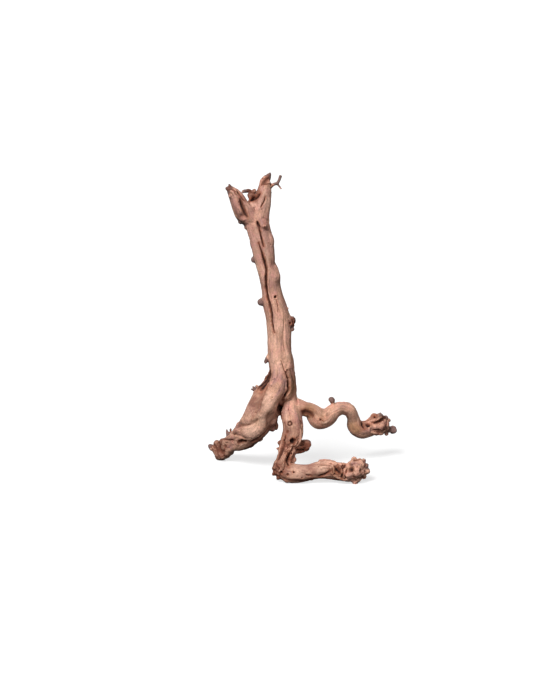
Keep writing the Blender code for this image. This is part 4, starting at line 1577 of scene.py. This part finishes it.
@dataclass
class Studio:
    """A white floor, soft light and the camera.

    Attributes:
        middle: the point that the camera looks at, in metres.
        elevation: the camera's angle above the horizon, in degrees.
        distance: from the camera to the middle, in metres.
        lens: focal length in millimetres.
        film: the film's long side in millimetres.
        sight: how far the camera sees, in metres.
        ambient: how strongly the sky lights the root.
        bounce: how much light the floor throws back at the root.
        floor_glow: how white the floor looks to the camera before any light falls on it.
        sky_white: how bright the sky looks to the camera.
        half_floor: half the floor's width, in metres.
        lamps: the lights that stand round the root.
    """

    middle: tuple[float, float, float] = (-0.0558, 0.0075, 0.2675)
    elevation: float = 12.0
    distance: float = 4.0
    lens: float = 105.42
    film: float = 36.0
    sight: float = 100.0
    ambient: float = 0.12
    bounce: float = 0.05
    floor_glow: float = 0.64
    sky_white: float = 1.05
    half_floor: float = 60.0
    lamps: tuple[Lamp, ...] = (
        Lamp("key_light", -24.0, 41.0, 24.0, 3.45),
        Lamp("fill_light", 20.0, 14.0, 45.0, 0.6),
        Lamp("back_light", 178.0, 24.0, 30.0, 0.9),
    )

    def camera(self) -> None:
        """Places the camera in front of the root and a little above it."""
        angle = math.radians(self.elevation)
        data = bpy.data.cameras.new("camera")
        data.lens = self.lens
        data.sensor_width = self.film
        data.clip_end = self.sight
        camera = bpy.data.objects.new("camera", data)
        x, y, z = self.middle
        camera.location = (x, y - self.distance * math.cos(angle), z + self.distance * math.sin(angle))
        camera.rotation_euler = (math.pi / 2 - angle, 0.0, 0.0)
        bpy.context.scene.collection.objects.link(camera)
        bpy.context.scene.camera = camera

    def floor(self) -> None:
        """Lays a plain white floor, wide enough to fill the view from any side.

        The camera sees it evenly white but for faint shadows. It throws back less light than it seems to, so
        that the root's undersides stay dark.
        """
        half = self.half_floor
        corners = np.array(((-half, -half, 0.0), (half, -half, 0.0), (half, half, 0.0), (-half, half, 0.0)))
        mesh = new_mesh("floor", corners, np.array(((0, 1, 2, 3),)))
        material = bpy.data.materials.new("white_floor")
        material.use_nodes = True
        recipe = Recipe(material.node_tree)
        shader = material.node_tree.nodes["Principled BSDF"]
        seen = recipe.node("ShaderNodeLightPath").outputs["Is Camera Ray"]
        white, dim = (0.5, 0.5, 0.5, 1.0), (self.bounce, self.bounce, self.bounce, 1.0)
        recipe.feed(shader.inputs["Base Color"], recipe.blend(seen, dim, white))
        shader.inputs["Roughness"].default_value = 1.0
        shader.inputs["Specular IOR Level"].default_value = 0.0
        shader.inputs["Emission Color"].default_value = (1.0, 1.0, 1.0, 1.0)
        recipe.feed(shader.inputs["Emission Strength"], recipe.math("MULTIPLY", seen, self.floor_glow))
        mesh.materials.append(material)
        floor = bpy.data.objects.new("floor", mesh)
        bpy.context.scene.collection.objects.link(floor)

    def light(self, lamp: Lamp) -> None:
        """Sets one lamp, turned to shine at the root from where it stands."""
        data = bpy.data.lights.new(lamp.name, "SUN")
        data.angle = math.radians(lamp.softness)
        data.energy = lamp.strength
        light = bpy.data.objects.new(lamp.name, data)
        light.rotation_euler = (math.radians(90.0 - lamp.elevation), 0.0, math.radians(lamp.azimuth))
        bpy.context.scene.collection.objects.link(light)

    def sky(self) -> None:
        """Surrounds the root with a white that is dimmer to the light than to the camera."""
        world = bpy.data.worlds.new("studio")
        world.use_nodes = True
        recipe = Recipe(world.node_tree)
        seen = recipe.node("ShaderNodeLightPath").outputs["Is Camera Ray"]
        background = world.node_tree.nodes["Background"]
        background.inputs["Color"].default_value = (1.0, 1.0, 1.0, 1.0)
        glow = recipe.math("ADD", recipe.math("MULTIPLY", seen, self.sky_white - self.ambient), self.ambient)
        recipe.feed(background.inputs["Strength"], glow)
        bpy.context.scene.world = world

    def build(self) -> None:
        """Sets up the sky, the floor, the lights and the camera."""
        bpy.context.scene.view_settings.view_transform = "Standard"
        self.sky()
        self.floor()
        for lamp in self.lamps:
            self.light(lamp)
        self.camera()
        LOG.info("studio: floor, three lights and camera")


def main() -> None:
    """Builds the root and the studio round it."""
    logging.basicConfig(level=logging.INFO, format="%(name)s: %(message)s")
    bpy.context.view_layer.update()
    DryRoot().build()
    Studio().build()


if __name__ == "__main__":
    main()
